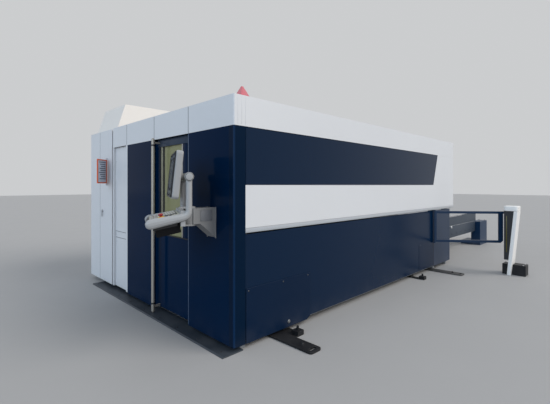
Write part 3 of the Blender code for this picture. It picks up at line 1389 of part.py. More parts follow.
def make_guarding(root):
    """Swing gate on its hinge bracket, reaching from the cabin to the light-barrier column."""
    back = LOWER_SET - SEAT
    ear_low = GATE_BOTTOM - SEAT - GATE_EAR
    ear_high = GATE_TOP + SEAT + GATE_EAR
    ear_end = -GATE_AXIS_Y - GATE_HINGE_WIDTH / 2
    bracket = [
        (back, ear_low),
        (back, ear_high),
        (ear_end, ear_high),
        (ear_end, GATE_TOP + SEAT),
        (back - GATE_BACK, GATE_TOP + SEAT),
        (back - GATE_BACK, GATE_BOTTOM - SEAT),
        (ear_end, GATE_BOTTOM - SEAT),
        (ear_end, ear_low),
    ]
    half = GATE_HINGE_WIDTH / 2
    add_part("gate_hinge", prism(bracket, "X", GATE_X - half, GATE_X + half), "black steel", root)

    swing = joint_empty("safety_gate_hinge", (GATE_X, -GATE_AXIS_Y, 0.0), root, (0.0, 0.0, math.radians(GATE_OPEN_DEG)))
    start = -GATE_THICKNESS / 2
    outer = [
        (start, GATE_BOTTOM),
        (GATE_LENGTH - GATE_CHAMFER, GATE_BOTTOM),
        (GATE_LENGTH, GATE_BOTTOM + GATE_CHAMFER),
        (GATE_LENGTH, GATE_TOP - GATE_TUBE),
        (GATE_LENGTH + GATE_LATCH, GATE_TOP - GATE_TUBE),
        (GATE_LENGTH + GATE_LATCH, GATE_TOP),
        (start, GATE_TOP),
    ]
    hole = rectangle(start + GATE_TUBE, GATE_BOTTOM + GATE_TUBE, GATE_LENGTH - GATE_END_WIDTH, GATE_TOP - GATE_TUBE)
    form = plate([outer, hole], "Y", -GATE_THICKNESS / 2, GATE_THICKNESS / 2)
    add_part("safety_gate", form, "deep blue paint", swing)


def slab_outline(low, high, grown=0.0):
    """Side view (Y, Z) of the leaning slab between two heights, grown on both sides by `grown`."""
    lean = math.tan(math.radians(SLAB_LEAN_DEG))
    left = grown - COLUMN_Y
    right = -COLUMN_Y - SLAB_THICKNESS - grown
    return [
        (left - lean * low, low),
        (right - lean * low, low),
        (right - lean * high, high),
        (left - lean * high, high),
    ]


def make_column(root):
    """Light-barrier column: foot box, leaning slab, the black light curtain beside it and the cap."""
    base_x = COLUMN_X + COLUMN_BASE_SET
    base = block(
        (base_x, -COLUMN_BASE_NEAR, 0.0), (base_x + COLUMN_BASE_DEPTH, -COLUMN_BASE_FAR, COLUMN_BASE_HEIGHT)
    )
    room = slab_outline(-OVERRUN, SLAB_TOP, SEAT)
    slot = prism(room, "X", base_x - OVERRUN, COLUMN_X + COLUMN_DEPTH + SEAT)
    add_part("column_base", cut(bevelled(base, BLOCK_BEVEL), [slot]), "black steel", root)

    slab = prism(slab_outline(0.0, SLAB_TOP), "X", COLUMN_X, COLUMN_X + COLUMN_DEPTH)
    add_part("column_slab", bevelled(slab, SHEET), "white paint", root)

    lean = math.tan(math.radians(SLAB_LEAN_DEG))
    beside = -COLUMN_Y + SEAT
    curtain = [
        (-CURTAIN_Y, CURTAIN_BOTTOM),
        (beside - lean * CURTAIN_BOTTOM, CURTAIN_BOTTOM),
        (beside - lean * SLAB_TOP, SLAB_TOP),
        (-CURTAIN_Y, SLAB_TOP),
    ]
    curtain_x = COLUMN_X + CURTAIN_SET
    form = prism(curtain, "X", curtain_x, COLUMN_X + COLUMN_DEPTH - CURTAIN_SET)
    lens_y = -CURTAIN_Y - CURTAIN_LENS_SET
    lens = block(
        (curtain_x - OVERRUN, lens_y - CURTAIN_LENS, CURTAIN_LENS_LOW), (curtain_x + SEAM_DEPTH, lens_y, CURTAIN_LENS_HIGH)
    )
    add_part("light_curtain", cut(form, [lens]), "black plastic", root)

    cap_low = SLAB_TOP + SEAT
    slab_right = -COLUMN_Y - SLAB_THICKNESS - lean * SLAB_TOP
    cap = rounded(
        rectangle(COLUMN_X - CAP_LAP, slab_right - CAP_LAP, COLUMN_X + COLUMN_DEPTH, CAP_LAP - CURTAIN_Y), CAP_CORNER
    )
    form = bevelled(prism(cap, "Z", cap_low, cap_low + CAP_HEIGHT), CAP_BEVEL, segments=2, angle_deg=70.0)
    add_part("column_cap", form, "white paint", root)


def make_feet(root):
    """Slotted anchor bars and levelling jacks that stand out from under the long side."""
    for name, start in (("anchor_bar_front", ANCHOR_X), ("anchor_bar_rear", ANCHOR_REAR_X)):
        outer = rounded(
            rectangle(start, -ANCHOR_REACH, start + ANCHOR_WIDTH, ANCHOR_INSIDE), [ANCHOR_CORNER, ANCHOR_CORNER, 0, 0]
        )
        middle = start + ANCHOR_WIDTH / 2
        slot_low = -ANCHOR_REACH + ANCHOR_SLOT_SET
        slot = rounded(
            rectangle(
                middle - ANCHOR_SLOT_LENGTH / 2,
                slot_low,
                middle + ANCHOR_SLOT_LENGTH / 2,
                slot_low + ANCHOR_SLOT_WIDTH,
            ),
            ANCHOR_SLOT_WIDTH / 2 - SEAT,
        )
        form = plate([outer, slot], "Z", 0.0, ANCHOR_THICKNESS)
        if name == "anchor_bar_front":
            form = united([form, *jack_forms(JACK_X, start + ANCHOR_WIDTH - OVERRUN)])
        add_part(name, form, "black steel", root)
    add_part("levelling_jack", united(jack_forms(JACK_REAR_X, JACK_REAR_X)), "black steel", root)


def jack_forms(start, foot_start):
    """Forms of one levelling jack: floor plate, block, bolt head and the stud under the frame's rail."""
    low_y = -JACK_REACH
    foot = block((foot_start, low_y, 0.0), (start + JACK_SIDE, ANCHOR_INSIDE, ANCHOR_THICKNESS / 2))
    body = block((start, low_y, 0.0), (start + JACK_SIDE, low_y + JACK_SIDE, JACK_HEIGHT))
    bolt_profile = [(JACK_BOLT_RADIUS, JACK_HEIGHT - OVERRUN), (JACK_BOLT_RADIUS, JACK_HEIGHT + JACK_BOLT_HEIGHT)]
    bolt = turned(bolt_profile, (start + JACK_SIDE / 2, low_y + JACK_SIDE / 2, 0.0), steps=6)
    stud_top = PANEL_BOTTOM + POST_TUBE / 2 - RAIL_TUBE / 2 - SEAT
    stud_low = FRAME_NEAR_Y - JACK_STUD / 2
    stud = block((start, stud_low, 0.0), (start + JACK_SIDE, stud_low + JACK_STUD, stud_top))
    return [foot, body, bolt, stud]


def make_console_bracket(root):
    """Wall bracket: a folded wedge with a rounded end that holds the swivel boss."""
    low_y, high_y = SWIVEL_Y - ARM_HALF_WIDTH, SWIVEL_Y + ARM_HALF_WIDTH
    outline = [
        (-SEAT, WEDGE_BOTTOM),
        (-SEAT, ARM_TOP),
        (-SWIVEL_X, ARM_TOP),
        (-SWIVEL_X, ARM_BOTTOM),
        (-WEDGE_REACH, ARM_BOTTOM),
    ]
    wedge = prism(outline, "Y", low_y, high_y)
    boss = turned([(BOSS_RADIUS, ARM_BOTTOM), (BOSS_RADIUS, ARM_TOP)], (-SWIVEL_X, SWIVEL_Y, 0.0), steps=24)
    form = united([wedge, boss])
    reach = SWIVEL_X - BOSS_RADIUS - 2 * ARM_PANEL_INSET
    recesses = []
    for face in (low_y - OVERRUN, high_y - ARM_PANEL_DEPTH):
        recesses.append(
            block(
                (-ARM_PANEL_INSET - reach, face, ARM_BOTTOM + ARM_PANEL_INSET),
                (-ARM_PANEL_INSET * 2, face + OVERRUN + ARM_PANEL_DEPTH, ARM_TOP - ARM_PANEL_INSET),
            )
        )
    add_part("console_bracket", cut(form, recesses), "console shell", root)


def cheek_line(forward):
    """Height of the cheeks' centre line beyond the elbow, at a distance in front of the swivel axis."""
    elbow = TUBE_FORWARD + CHEEK_BEND
    return CHEEK_ELBOW_Z - math.tan(math.radians(CHEEK_FALL_DEG)) * (forward - elbow)


def cheek_form(side):
    """One bent side tube of the console: up to the tilt hinge, round the elbow and out to a thick rounded nose."""
    heading_end = 90.0 - CHEEK_FALL_DEG
    bend_end = math.radians(heading_end)
    bend_x = TUBE_FORWARD + CHEEK_BEND * (1 - math.cos(bend_end))
    bend_top = cheek_line(bend_x) + CHEEK_BEND * math.sin(bend_end)
    stations = [(TUBE_FORWARD, TILT_Z, 0.0, CHEEK_RADIUS, CHEEK_RADIUS)]
    for step in range(CHEEK_BEND_STEPS + 1):
        share = step / CHEEK_BEND_STEPS
        heading = bend_end * share
        forward = TUBE_FORWARD + CHEEK_BEND * (1 - math.cos(heading))
        half = CHEEK_RADIUS + (CHEEK_REAR_HALF - CHEEK_RADIUS) * share
        stations.append((forward, bend_top - CHEEK_BEND * math.sin(heading), heading, half, CHEEK_RADIUS))
    nose_x = CHEEK_REACH - CHEEK_FRONT_HALF
    for step in range(CHEEK_NOSE_STEPS + 1):
        turn = math.radians(CHEEK_NOSE_TURN_DEG) * step / CHEEK_NOSE_STEPS
        forward = nose_x + CHEEK_FRONT_HALF * math.sin(turn)
        width = CHEEK_RADIUS * math.sqrt(math.cos(turn))
        stations.append((forward, cheek_line(forward), bend_end, CHEEK_FRONT_HALF * math.cos(turn), width))
    rings = []
    for forward, height, heading, half_height, half_width in stations:
        normal = Vector((math.cos(heading), math.sin(heading)))
        ring = []
        for corner in range(CHEEK_SIDES):
            turn = 2 * math.pi * (corner + 0.5) / CHEEK_SIDES
            offset = normal * (half_height * math.cos(turn))
            y = side * CHEEK_HALF_SPAN + half_width * math.sin(turn) / math.cos(math.pi / CHEEK_SIDES)
            ring.append((-forward - offset.x, y, height + offset.y))
        rings.append(ring)
    return lofted(rings)


def make_console(root):
    """Swivelling console: tubular frame, key tray with keys and emergency stop, and the tilting monitor."""
    swivel = joint_empty(
        "console_swivel", (-SWIVEL_X, SWIVEL_Y, 0.0), root, (0.0, 0.0, math.radians(CONSOLE_YAW_DEG))
    )
    span = CHEEK_HALF_SPAN
    forms = [cheek_form(-1), cheek_form(1)]
    forms.append(block((-YOKE_FRONT, -span, YOKE_BOTTOM), (-YOKE_BACK, span, YOKE_TOP)))
    for low, high in ((ARM_TOP + SEAT, ARM_TOP + SEAT + EAR_THICKNESS), (ARM_BOTTOM - SEAT - EAR_THICKNESS, ARM_BOTTOM - SEAT)):
        ear = rounded(
            rectangle(-YOKE_FRONT + OVERRUN, -BOSS_RADIUS, BOSS_RADIUS, BOSS_RADIUS), [0, BOSS_RADIUS * 0.9, BOSS_RADIUS * 0.9, 0]
        )
        forms.append(prism(ear, "Z", low, high))
    web_half = BOSS_RADIUS - SHEET
    web_reach = SEAT + EAR_THICKNESS / 2
    forms.append(
        block(
            (SHEET - YOKE_FRONT, -web_half, ARM_BOTTOM - web_reach),
            (-YOKE_BACK - SHEET, web_half, ARM_TOP + web_reach),
        )
    )
    inner = span - CHEEK_RADIUS - SHEET / 2
    for side in (-1, 1):
        profile = [(KNUCKLE_RADIUS, inner), (KNUCKLE_RADIUS, inner + KNUCKLE_LENGTH - SHEET), (KNUCKLE_RADIUS - SHEET, inner + KNUCKLE_LENGTH)]
        profile = [(radius, side * height) for radius, height in profile]
        forms.append(turned(profile, (-TUBE_FORWARD, 0.0, TILT_Z), "Y", KNUCKLE_STEPS))
    add_part("console_frame", united(forms), "console shell", swivel)
    make_console_deck(swivel)
    make_monitor(swivel, inner)


def make_console_deck(swivel):
    """Key tray between the cheeks with its underpan, the key pad on it, and the emergency stop."""
    half = CHEEK_HALF_SPAN - CHEEK_RADIUS - SEAT
    fall = math.tan(math.radians(CHEEK_FALL_DEG))

    def dropped(forward, depth):
        """Outline point at a depth under the tray's sloping top plane."""
        return (-forward, TRAY_TOP - fall * (forward - TRAY_START) - depth)

    under = TRAY_DEPTH + UNDERPAN_DEPTH
    outline = [
        dropped(TRAY_START, TRAY_DEPTH),
        dropped(TRAY_START, 0.0),
        dropped(TRAY_END - TRAY_NOSE, 0.0),
        dropped(TRAY_END - TRAY_NOSE / 4, TRAY_NOSE / 2),
        dropped(TRAY_END, TRAY_NOSE),
        dropped(TRAY_END, TRAY_DEPTH - TRAY_NOSE / 2),
        dropped(TRAY_END - TRAY_NOSE / 2, TRAY_DEPTH),
        dropped(UNDERPAN_END, TRAY_DEPTH),
        dropped(UNDERPAN_END, under),
        dropped(UNDERPAN_START, under),
        dropped(UNDERPAN_START, TRAY_DEPTH),
    ]
    add_part("console_tray", prism(outline, "Y", -half, half), "cream deck", swivel)

    def top_at(forward):
        """Height of the tray's sloping top at a distance in front of the swivel axis."""
        return TRAY_TOP - fall * (forward - TRAY_START)

    slope = math.atan(fall)
    deck_length = (DECK_END - DECK_START) / math.cos(slope)
    keys = bmesh.new()
    low_y = KEY_SIDE_SHIFT + COLLAR_RADIUS - STOP_SIDE
    high_y = KEY_HALF_WIDTH
    columns = [low_y + (high_y - low_y) * step / KEY_COLUMNS for step in range(KEY_COLUMNS + 1)]
    rows = [deck_length * step / KEY_ROWS for step in range(KEY_ROWS + 1)]
    grid = [[keys.verts.new((-row, column, DECK_THICKNESS)) for column in columns] for row in rows]
    tops = []
    for r in range(KEY_ROWS):
        for c in range(KEY_COLUMNS):
            tops.append(keys.faces.new((grid[r][c], grid[r][c + 1], grid[r + 1][c + 1], grid[r + 1][c])))
    rim = grid[0] + [line[-1] for line in grid[1:]] + grid[-1][-2::-1] + [line[0] for line in grid[-2:0:-1]]
    floor = [keys.verts.new((vert.co.x, vert.co.y, 0.0)) for vert in rim]
    for a, b, c, d in zip(rim, rim[1:] + rim[:1], floor[1:] + floor[:1], floor):
        keys.faces.new((a, b, c, d))
    keys.faces.new(floor)
    bmesh.ops.recalc_face_normals(keys, faces=keys.faces)
    bmesh.ops.inset_individual(keys, faces=tops, thickness=KEY_GAP / 2)
    raised = bmesh.ops.extrude_discrete_faces(keys, faces=tops)
    corners = {vert for face in raised["faces"] for vert in face.verts}
    bmesh.ops.translate(keys, verts=list(corners), vec=(0.0, 0.0, KEY_RISE))
    lay = Matrix.Translation((-DECK_START, 0.0, top_at(DECK_START) + SEAT)) @ Matrix.Rotation(-slope, 4, "Y")
    bmesh.ops.transform(keys, matrix=lay, verts=keys.verts)
    add_part("console_keys", keys, "key grey", swivel)

    stop_place = (-STOP_FORWARD, -STOP_SIDE, top_at(STOP_FORWARD) + SEAT)
    press = joint_empty("emergency_stop_press", stop_place, swivel, (0.0, -slope, 0.0))
    collar_profile = [(COLLAR_RADIUS, 0.0), (COLLAR_RADIUS, COLLAR_HEIGHT * 0.6), (COLLAR_RADIUS * 0.8, COLLAR_HEIGHT)]
    collar = turned(collar_profile, (0.0, 0.0, 0.0), steps=STOP_STEPS)
    bore = turned([(STOP_STEM_RADIUS + SEAT, -OVERRUN), (STOP_STEM_RADIUS + SEAT, 2 * COLLAR_HEIGHT)], (0.0, 0.0, 0.0), steps=STOP_STEPS)
    collar_item = add_part("stop_collar", cut(collar, [bore]), "signal yellow", swivel)
    collar_item.location = stop_place
    collar_item.rotation_euler = (0.0, -slope, 0.0)
    travel_room = COLLAR_HEIGHT * 0.75
    stem_low = travel_room
    head_low = COLLAR_HEIGHT + travel_room
    head_profile = [
        (STOP_STEM_RADIUS, stem_low),
        (STOP_STEM_RADIUS, head_low),
        (STOP_HEAD_RADIUS, head_low),
        (STOP_HEAD_RADIUS, head_low + STOP_HEAD_HEIGHT * 0.6),
        (STOP_HEAD_RADIUS * 0.7, head_low + STOP_HEAD_HEIGHT),
    ]
    add_part("emergency_stop", turned(head_profile, (0.0, 0.0, 0.0), steps=STOP_STEPS), "signal red", press)


def make_monitor(swivel, inner):
    """Monitor housing with its hinge barrel between the cheeks, and the screen on its front."""
    tilt = joint_empty("monitor_tilt", (-TUBE_FORWARD, 0.0, TILT_Z), swivel, (0.0, math.radians(MONITOR_LEAN_DEG), 0.0))
    outline = rounded(
        rectangle(-MONITOR_HALF_WIDTH, -MONITOR_BELOW, MONITOR_HALF_WIDTH, MONITOR_ABOVE), MONITOR_CORNER
    )
    front = -MONITOR_BACK - MONITOR_THICKNESS
    slab = bevelled(prism(outline, "X", front, -MONITOR_BACK), MONITOR_BEVEL, segments=2, angle_deg=70.0)
    half = inner - SEAT
    barrel = turned([(KNUCKLE_RADIUS, -half), (KNUCKLE_RADIUS, half)], (0.0, 0.0, 0.0), "Y", KNUCKLE_STEPS)
    lug = block((-MONITOR_BACK - SHEET, -MONITOR_LUG_HALF, -KNUCKLE_RADIUS / 2), (0.0, MONITOR_LUG_HALF, KNUCKLE_RADIUS / 2))
    add_part("console_monitor", united([slab, barrel, lug]), "console shell", tilt)

    screen = rounded(
        rectangle(
            -MONITOR_HALF_WIDTH + SCREEN_BORDER,
            -MONITOR_BELOW + SCREEN_BORDER,
            MONITOR_HALF_WIDTH - SCREEN_BORDER,
            MONITOR_ABOVE - SCREEN_BORDER,
        ),
        MONITOR_CORNER / 2,
    )
    glass = prism(screen, "X", front - SEAT - SCREEN_DEPTH, front - SEAT)
    add_part("console_screen", glass, "black plastic", tilt)


def centre_on_origin(root):
    """Move the root so that the machine stands centred on the world origin."""
    bpy.context.view_layer.update()
    corners = []
    for item in bpy.data.objects:
        if item.type == "MESH":
            corners += [item.matrix_world @ vert.co for vert in item.data.vertices]
    middle_x = (min(point.x for point in corners) + max(point.x for point in corners)) / 2
    middle_y = (min(point.y for point in corners) + max(point.y for point in corners)) / 2
    root.location = (-middle_x, -middle_y, 0.0)
    bpy.context.view_layer.update()


def main():
    """Build the machine from the frame outwards."""
    clear_scene()
    root = joint_empty("machine_root", (0.0, 0.0, 0.0))
    make_cabin_frame(root)
    make_bed(root)
    make_corner_post(root)
    make_long_side(root)
    make_front(root)
    make_front_door(root)
    make_service_bay(root)
    make_roof(root)
    make_cabin_end(root)
    make_gantry(root)
    lift = make_changer(root)
    make_pallets(root, lift)
    make_guarding(root)
    make_column(root)
    make_feet(root)
    make_console_bracket(root)
    make_console(root)
    centre_on_origin(root)


main()
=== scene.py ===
"""Looks of the fiber laser cutting machine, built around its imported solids.

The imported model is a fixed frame. Each sub-assembly is a class that keeps its own sizes, gives the solids
their finishes, and builds the seals, screws, louvres, keys and other small pieces that the solids leave out.
Sizes are metres in the frame's own axes: X from the access door towards the pallet changer, Y from the long
window towards the service bay, Z up.
"""

import json
import logging
import math
from dataclasses import dataclass, replace
from enum import Enum
from typing import Callable, Dict, List, Optional, Sequence, Tuple

import bmesh
import bpy
from mathutils import Euler, Matrix, Vector

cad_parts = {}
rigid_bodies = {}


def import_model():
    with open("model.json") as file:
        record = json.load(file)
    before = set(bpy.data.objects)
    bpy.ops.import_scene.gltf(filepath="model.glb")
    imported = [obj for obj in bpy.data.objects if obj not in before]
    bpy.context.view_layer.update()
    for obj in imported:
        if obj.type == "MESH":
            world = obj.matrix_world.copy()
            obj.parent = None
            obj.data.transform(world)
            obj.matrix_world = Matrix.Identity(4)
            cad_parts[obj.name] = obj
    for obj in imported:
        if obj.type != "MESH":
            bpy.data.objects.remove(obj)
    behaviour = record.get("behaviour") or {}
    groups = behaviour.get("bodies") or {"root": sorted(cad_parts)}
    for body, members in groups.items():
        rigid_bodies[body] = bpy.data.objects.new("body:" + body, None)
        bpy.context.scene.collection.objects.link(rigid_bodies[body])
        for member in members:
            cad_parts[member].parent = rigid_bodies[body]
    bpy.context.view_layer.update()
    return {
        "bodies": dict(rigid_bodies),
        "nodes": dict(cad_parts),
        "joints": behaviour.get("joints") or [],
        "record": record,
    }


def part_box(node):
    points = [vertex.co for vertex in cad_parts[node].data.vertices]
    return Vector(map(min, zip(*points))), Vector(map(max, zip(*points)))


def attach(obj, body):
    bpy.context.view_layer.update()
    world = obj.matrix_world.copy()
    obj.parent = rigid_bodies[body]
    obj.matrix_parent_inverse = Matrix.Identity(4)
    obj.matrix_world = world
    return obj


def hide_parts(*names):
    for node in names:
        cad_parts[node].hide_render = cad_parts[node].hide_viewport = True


Colour = Tuple[float, float, float]
Point = Tuple[float, float, float]
Outline = List[Tuple[float, float]]
Box = Tuple[Point, Point]
Form = bmesh.types.BMesh
Item = bpy.types.Object
Tree = bpy.types.NodeTree
Node = bpy.types.Node
Wire = bpy.types.NodeSocket
Ends = bpy.types.NodeOutputs

log = logging.getLogger("laser_cutting_machine")
MID_GREY = (0.5, 0.5, 0.5, 1.0)
SMOOTH_DEG = 32.0
BEVEL_SAMPLES = 4
FRAME: Dict[str, object] = {}


# Node trees


class Socket(Enum):
    """Kinds of node-group socket."""

    FLOAT = "NodeSocketFloat"
    WHOLE = "NodeSocketInt"
    COLOUR = "NodeSocketColor"
    VECTOR = "NodeSocketVector"
    OBJECT = "NodeSocketObject"
    MATERIAL = "NodeSocketMaterial"
    GEOMETRY = "NodeSocketGeometry"

    @classmethod
    def of(cls, value: object) -> "Socket":
        """Kind for a default value; a kind stands for itself."""
        if isinstance(value, cls):
            return value
        if isinstance(value, tuple):
            return cls.COLOUR if len(value) == 4 else cls.VECTOR
        return cls.WHOLE if isinstance(value, int) else cls.FLOAT


def rgba(colour: Colour) -> Tuple[float, float, float, float]:
    """Colour with full alpha."""
    return (*colour, 1.0)


class Wiring:
    """Short calls for adding and joining the nodes of one node tree."""

    def __init__(self, tree: Tree) -> None:
        """Keep the tree; a group's two ends are filled in when it is started."""
        self.tree = tree
        self.source: Dict[str, Wire] = {}
        self.ending: Optional[Node] = None

    def add(self, kind: str, feeds: Optional[Dict[object, object]] = None, **settings: object) -> Node:
        """Add a node.

        Args:
            kind: Blender's name of the node type.
            feeds: output sockets or plain values, by name or number of the input.
            settings: attributes of the node.

        Returns:
            The new node.
        """
        node = self.tree.nodes.new(kind)
        for name, value in settings.items():
            setattr(node, name, value)
        self.feed(node, feeds or {})
        return node

    def feed(self, node: Node, feeds: Dict[object, object]) -> None:
        """Link sockets or write plain values into a node's inputs."""
        for label, value in feeds.items():
            if isinstance(value, Wire):
                self.tree.links.new(value, node.inputs[label])
            else:
                node.inputs[label].default_value = value

    def give(self, **values: Wire) -> None:
        """Link a group's outputs."""
        self.feed(self.ending, values)

    def maths(self, operation: str, first: object, second: object, clamp: bool = False) -> Wire:
        """Result of a Math node on two sockets or numbers."""
        return self.add("ShaderNodeMath", {0: first, 1: second}, operation=operation,
                        use_clamp=clamp).outputs[0]

    def times(self, first: object, second: object, clamp: bool = False) -> Wire:
        """Product of two sockets or numbers."""
        return self.maths("MULTIPLY", first, second, clamp)

    def plus(self, first: object, second: object, clamp: bool = False) -> Wire:
        """Sum of two sockets or numbers."""
        return self.maths("ADD", first, second, clamp)

    def spread(self, value: object, low_end: float, high_end: float, to_low: float = 0.0) -> Wire:
        """Map a value from a range to to_low..1, kept inside it."""
        feeds = {"Value": value, "From Min": low_end, "From Max": high_end, "To Min": to_low, "To Max": 1.0}
        return self.add("ShaderNodeMapRange", feeds).outputs["Result"]

    def blend(self, share: object, first: object, second: object) -> Wire:
        """Mix of two colours by the second one's share."""
        return self.add("ShaderNodeMix", {"Factor": share, 6: first, 7: second}, data_type="RGBA").outputs[2]

    def noise(self, vector: Wire, scale: object, detail: float) -> Wire:
        """Fractal noise between 0 and 1 at a scale in cycles per metre."""
        feeds = {"Vector": vector, "Scale": scale, "Detail": detail}
        return self.add("ShaderNodeTexNoise", feeds).outputs["Fac"]

    def place(self) -> Wire:
        """Object coordinates."""
        return self.add("ShaderNodeTexCoord").outputs["Object"]

    def facing(self, kind: str = "Normal") -> Wire:
        """Normal of the surface."""
        return self.add("ShaderNodeNewGeometry").outputs[kind]

    def rise(self, vector: Wire) -> Wire:
        """Upright part of a vector."""
        return self.add("ShaderNodeSeparateXYZ", {0: vector}).outputs["Z"]

    def toned(self, amount: Wire) -> Wire:
        """The group's Colour made lighter or darker."""
        feeds = {0: self.source["Colour"], "Scale": amount}
        return self.add("ShaderNodeVectorMath", feeds, operation="SCALE").outputs[0]

    def gloss(self, share: Wire) -> Wire:
        """Roughness between the group's Gloss Low and Gloss High."""
        span = self.maths("SUBTRACT", self.source["Gloss High"], self.source["Gloss Low"])
        return self.plus(self.source["Gloss Low"], self.times(span, share))

    def group(self, name: str, **values: object) -> Ends:
        """Place a shared shader group and give its outputs; input names have underscores for spaces."""
        feeds = {label.replace("_", " "): value for label, value in values.items()}
        return self.add("ShaderNodeGroup", feeds, node_tree=GROUPS.get(name)).outputs


class NodeGroups:
    """Node groups with named inputs and outputs, each built at its first use."""

    tree_type = "ShaderNodeTree"

    def __init__(self) -> None:
        """Start with no group built."""
        self.built: Dict[str, Tree] = {}

    def makers(self) -> Dict[str, Callable[[], None]]:
        """The methods that build the groups, by group name."""
        raise NotImplementedError

    def get(self, name: str) -> Tree:
        """Give a group by name, building it when it is new."""
        if name not in self.built:
            self.makers()[name]()
        return self.built[name]

    def start(self, name: str, inputs: Dict[str, object], outputs: Dict[str, Socket]) -> Wiring:
        """Open a new group with its sockets.

        Args:
            name: the group's name.
            inputs: default value of each input, or its kind where it has none.
            outputs: kind of each output.

        Returns:
            The wiring of the new group.
        """
        tree = bpy.data.node_groups.new(name, self.tree_type)
        for label, value in inputs.items():
            socket = tree.interface.new_socket(label, in_out="INPUT", socket_type=Socket.of(value).value)
            if not isinstance(value, Socket):
                socket.default_value = value
        for label, kind in outputs.items():
            tree.interface.new_socket(label, in_out="OUTPUT", socket_type=kind.value)
        self.built[name] = tree
        wiring = Wiring(tree)
        wiring.source = {socket.name: socket for socket in wiring.add("NodeGroupInput").outputs}
        wiring.ending = wiring.add("NodeGroupOutput")
        return wiring


SURFACE_OUT = {"Colour": Socket.COLOUR, "Roughness": Socket.FLOAT, "Height": Socket.FLOAT}
MASK_OUT = {"Colour": Socket.COLOUR, "Mask": Socket.FLOAT}


class ShaderGroups(NodeGroups):
    """The shader groups that the finishes share."""

    def makers(self) -> Dict[str, Callable[[], None]]:
        """The methods that build the groups, by group name."""
        return {"Paint film": self.paint_film, "Worn edge": self.worn_edge,
                "Settled dust": self.settled_dust, "Drawn metal": self.drawn_metal,
                "Moulded grain": self.moulded_grain, "Upward faces": self.upward_faces}

    def paint_film(self) -> None:
        """Colour drift, gloss drift and orange peel of a sprayed film."""
        inputs = {"Colour": MID_GREY, "Drift": 0.06, "Gloss Low": 0.3, "Gloss High": 0.4,
                  "Peel Scale": 220.0}
        wiring = self.start("Paint film", inputs, SURFACE_OUT)
        place = wiring.place()
        mottle = wiring.plus(wiring.noise(place, 0.9, 2.0), wiring.times(wiring.noise(place, 14.0, 4.0),
                                                                         0.35))
        tone = wiring.times(wiring.maths("SUBTRACT", mottle, 0.68), wiring.source["Drift"])
        wiring.give(Colour=wiring.toned(wiring.plus(1.0, tone)),
                    Roughness=wiring.gloss(wiring.noise(place, 3.5, 5.0)),
                    Height=wiring.noise(place, wiring.source["Peel Scale"], 2.0))

    def worn_edge(self) -> None:
        """Mask and colour of paint rubbed through along edges."""
        inputs = {"Colour": MID_GREY, "Bare Colour": (0.35, 0.35, 0.36, 1.0), "Radius": 0.003, "Amount": 0.5}
        wiring = self.start("Worn edge", inputs, MASK_OUT)
        source = wiring.source
        rounded = wiring.add("ShaderNodeBevel", {"Radius": source["Radius"]}, samples=BEVEL_SAMPLES)
        dot = wiring.add("ShaderNodeVectorMath", {0: rounded.outputs["Normal"], 1: wiring.facing()},
                         operation="DOT_PRODUCT")
        edge = wiring.spread(dot.outputs["Value"], 0.99, 0.86)
        patches = wiring.spread(wiring.noise(wiring.place(), 22.0, 5.0), 0.42, 0.62)
        mask = wiring.times(wiring.times(edge, patches), source["Amount"], True)
        wiring.give(Colour=wiring.blend(mask, source["Colour"], source["Bare Colour"]), Mask=mask)

    def settled_dust(self) -> None:
        """Pale dust near the floor and on faces that look up."""
        inputs = {"Colour": MID_GREY, "Dust Colour": (0.36, 0.34, 0.32, 1.0), "Reach": 0.30, "Amount": 0.4}
        wiring = self.start("Settled dust", inputs, MASK_OUT)
        source, place = wiring.source, wiring.place()
        near = wiring.maths("SUBTRACT", 1.0, wiring.maths("DIVIDE", wiring.rise(place), source["Reach"]),
                            True)
        lying = wiring.times(wiring.spread(wiring.rise(wiring.facing()), 0.7, 1.0), 0.45)
        both = wiring.plus(wiring.times(near, near), lying, True)
        patches = wiring.spread(wiring.noise(place, 5.0, 6.0), 0.30, 0.75, 0.1)
        mask = wiring.times(wiring.times(both, patches), source["Amount"], True)
        wiring.give(Colour=wiring.blend(mask, source["Colour"], source["Dust Colour"]), Mask=mask)

    def upward_faces(self) -> None:
        """Mask of the faces that look up."""
        wiring = self.start("Upward faces", {"Least Rise": 0.9}, {"Mask": Socket.FLOAT})
        rise = wiring.rise(wiring.facing("True Normal"))
        wiring.give(Mask=wiring.maths("GREATER_THAN", rise, wiring.source["Least Rise"]))

    def drawn_metal(self) -> None:
        """Fine parallel marks of rolled, ground or brushed metal."""
        inputs = {"Colour": MID_GREY, "Stretch": (4.0, 90.0, 90.0), "Gloss Low": 0.25, "Gloss High": 0.45,
                  "Drift": 0.2}
        wiring = self.start("Drawn metal", inputs, SURFACE_OUT)
        place = wiring.place()
        pulled = wiring.add("ShaderNodeVectorMath", {0: place, 1: wiring.source["Stretch"]},
                            operation="MULTIPLY")
        lines = wiring.noise(pulled.outputs[0], 4.0, 4.0)
        stains = wiring.noise(place, 6.0, 4.0)
        tone = wiring.times(wiring.maths("SUBTRACT", wiring.plus(lines, stains), 1.0),
                            wiring.source["Drift"])
        wiring.give(Colour=wiring.toned(wiring.plus(1.0, tone)), Roughness=wiring.gloss(stains),
                    Height=lines)

    def moulded_grain(self) -> None:
        """Spark-eroded grain of moulded plastic and rubber."""
        inputs = {"Colour": MID_GREY, "Grain Scale": 700.0, "Gloss Low": 0.4, "Gloss High": 0.6}
        wiring = self.start("Moulded grain", inputs, SURFACE_OUT)
        place = wiring.place()
        cells = wiring.add("ShaderNodeTexVoronoi", {"Vector": place, "Scale": wiring.source["Grain Scale"]})
        handled = wiring.noise(place, 18.0, 4.0)
        wiring.give(Colour=wiring.toned(wiring.plus(0.94, wiring.times(handled, 0.12))),
                    Roughness=wiring.gloss(handled), Height=cells.outputs["Distance"])


GROUPS = ShaderGroups()


# Finishes


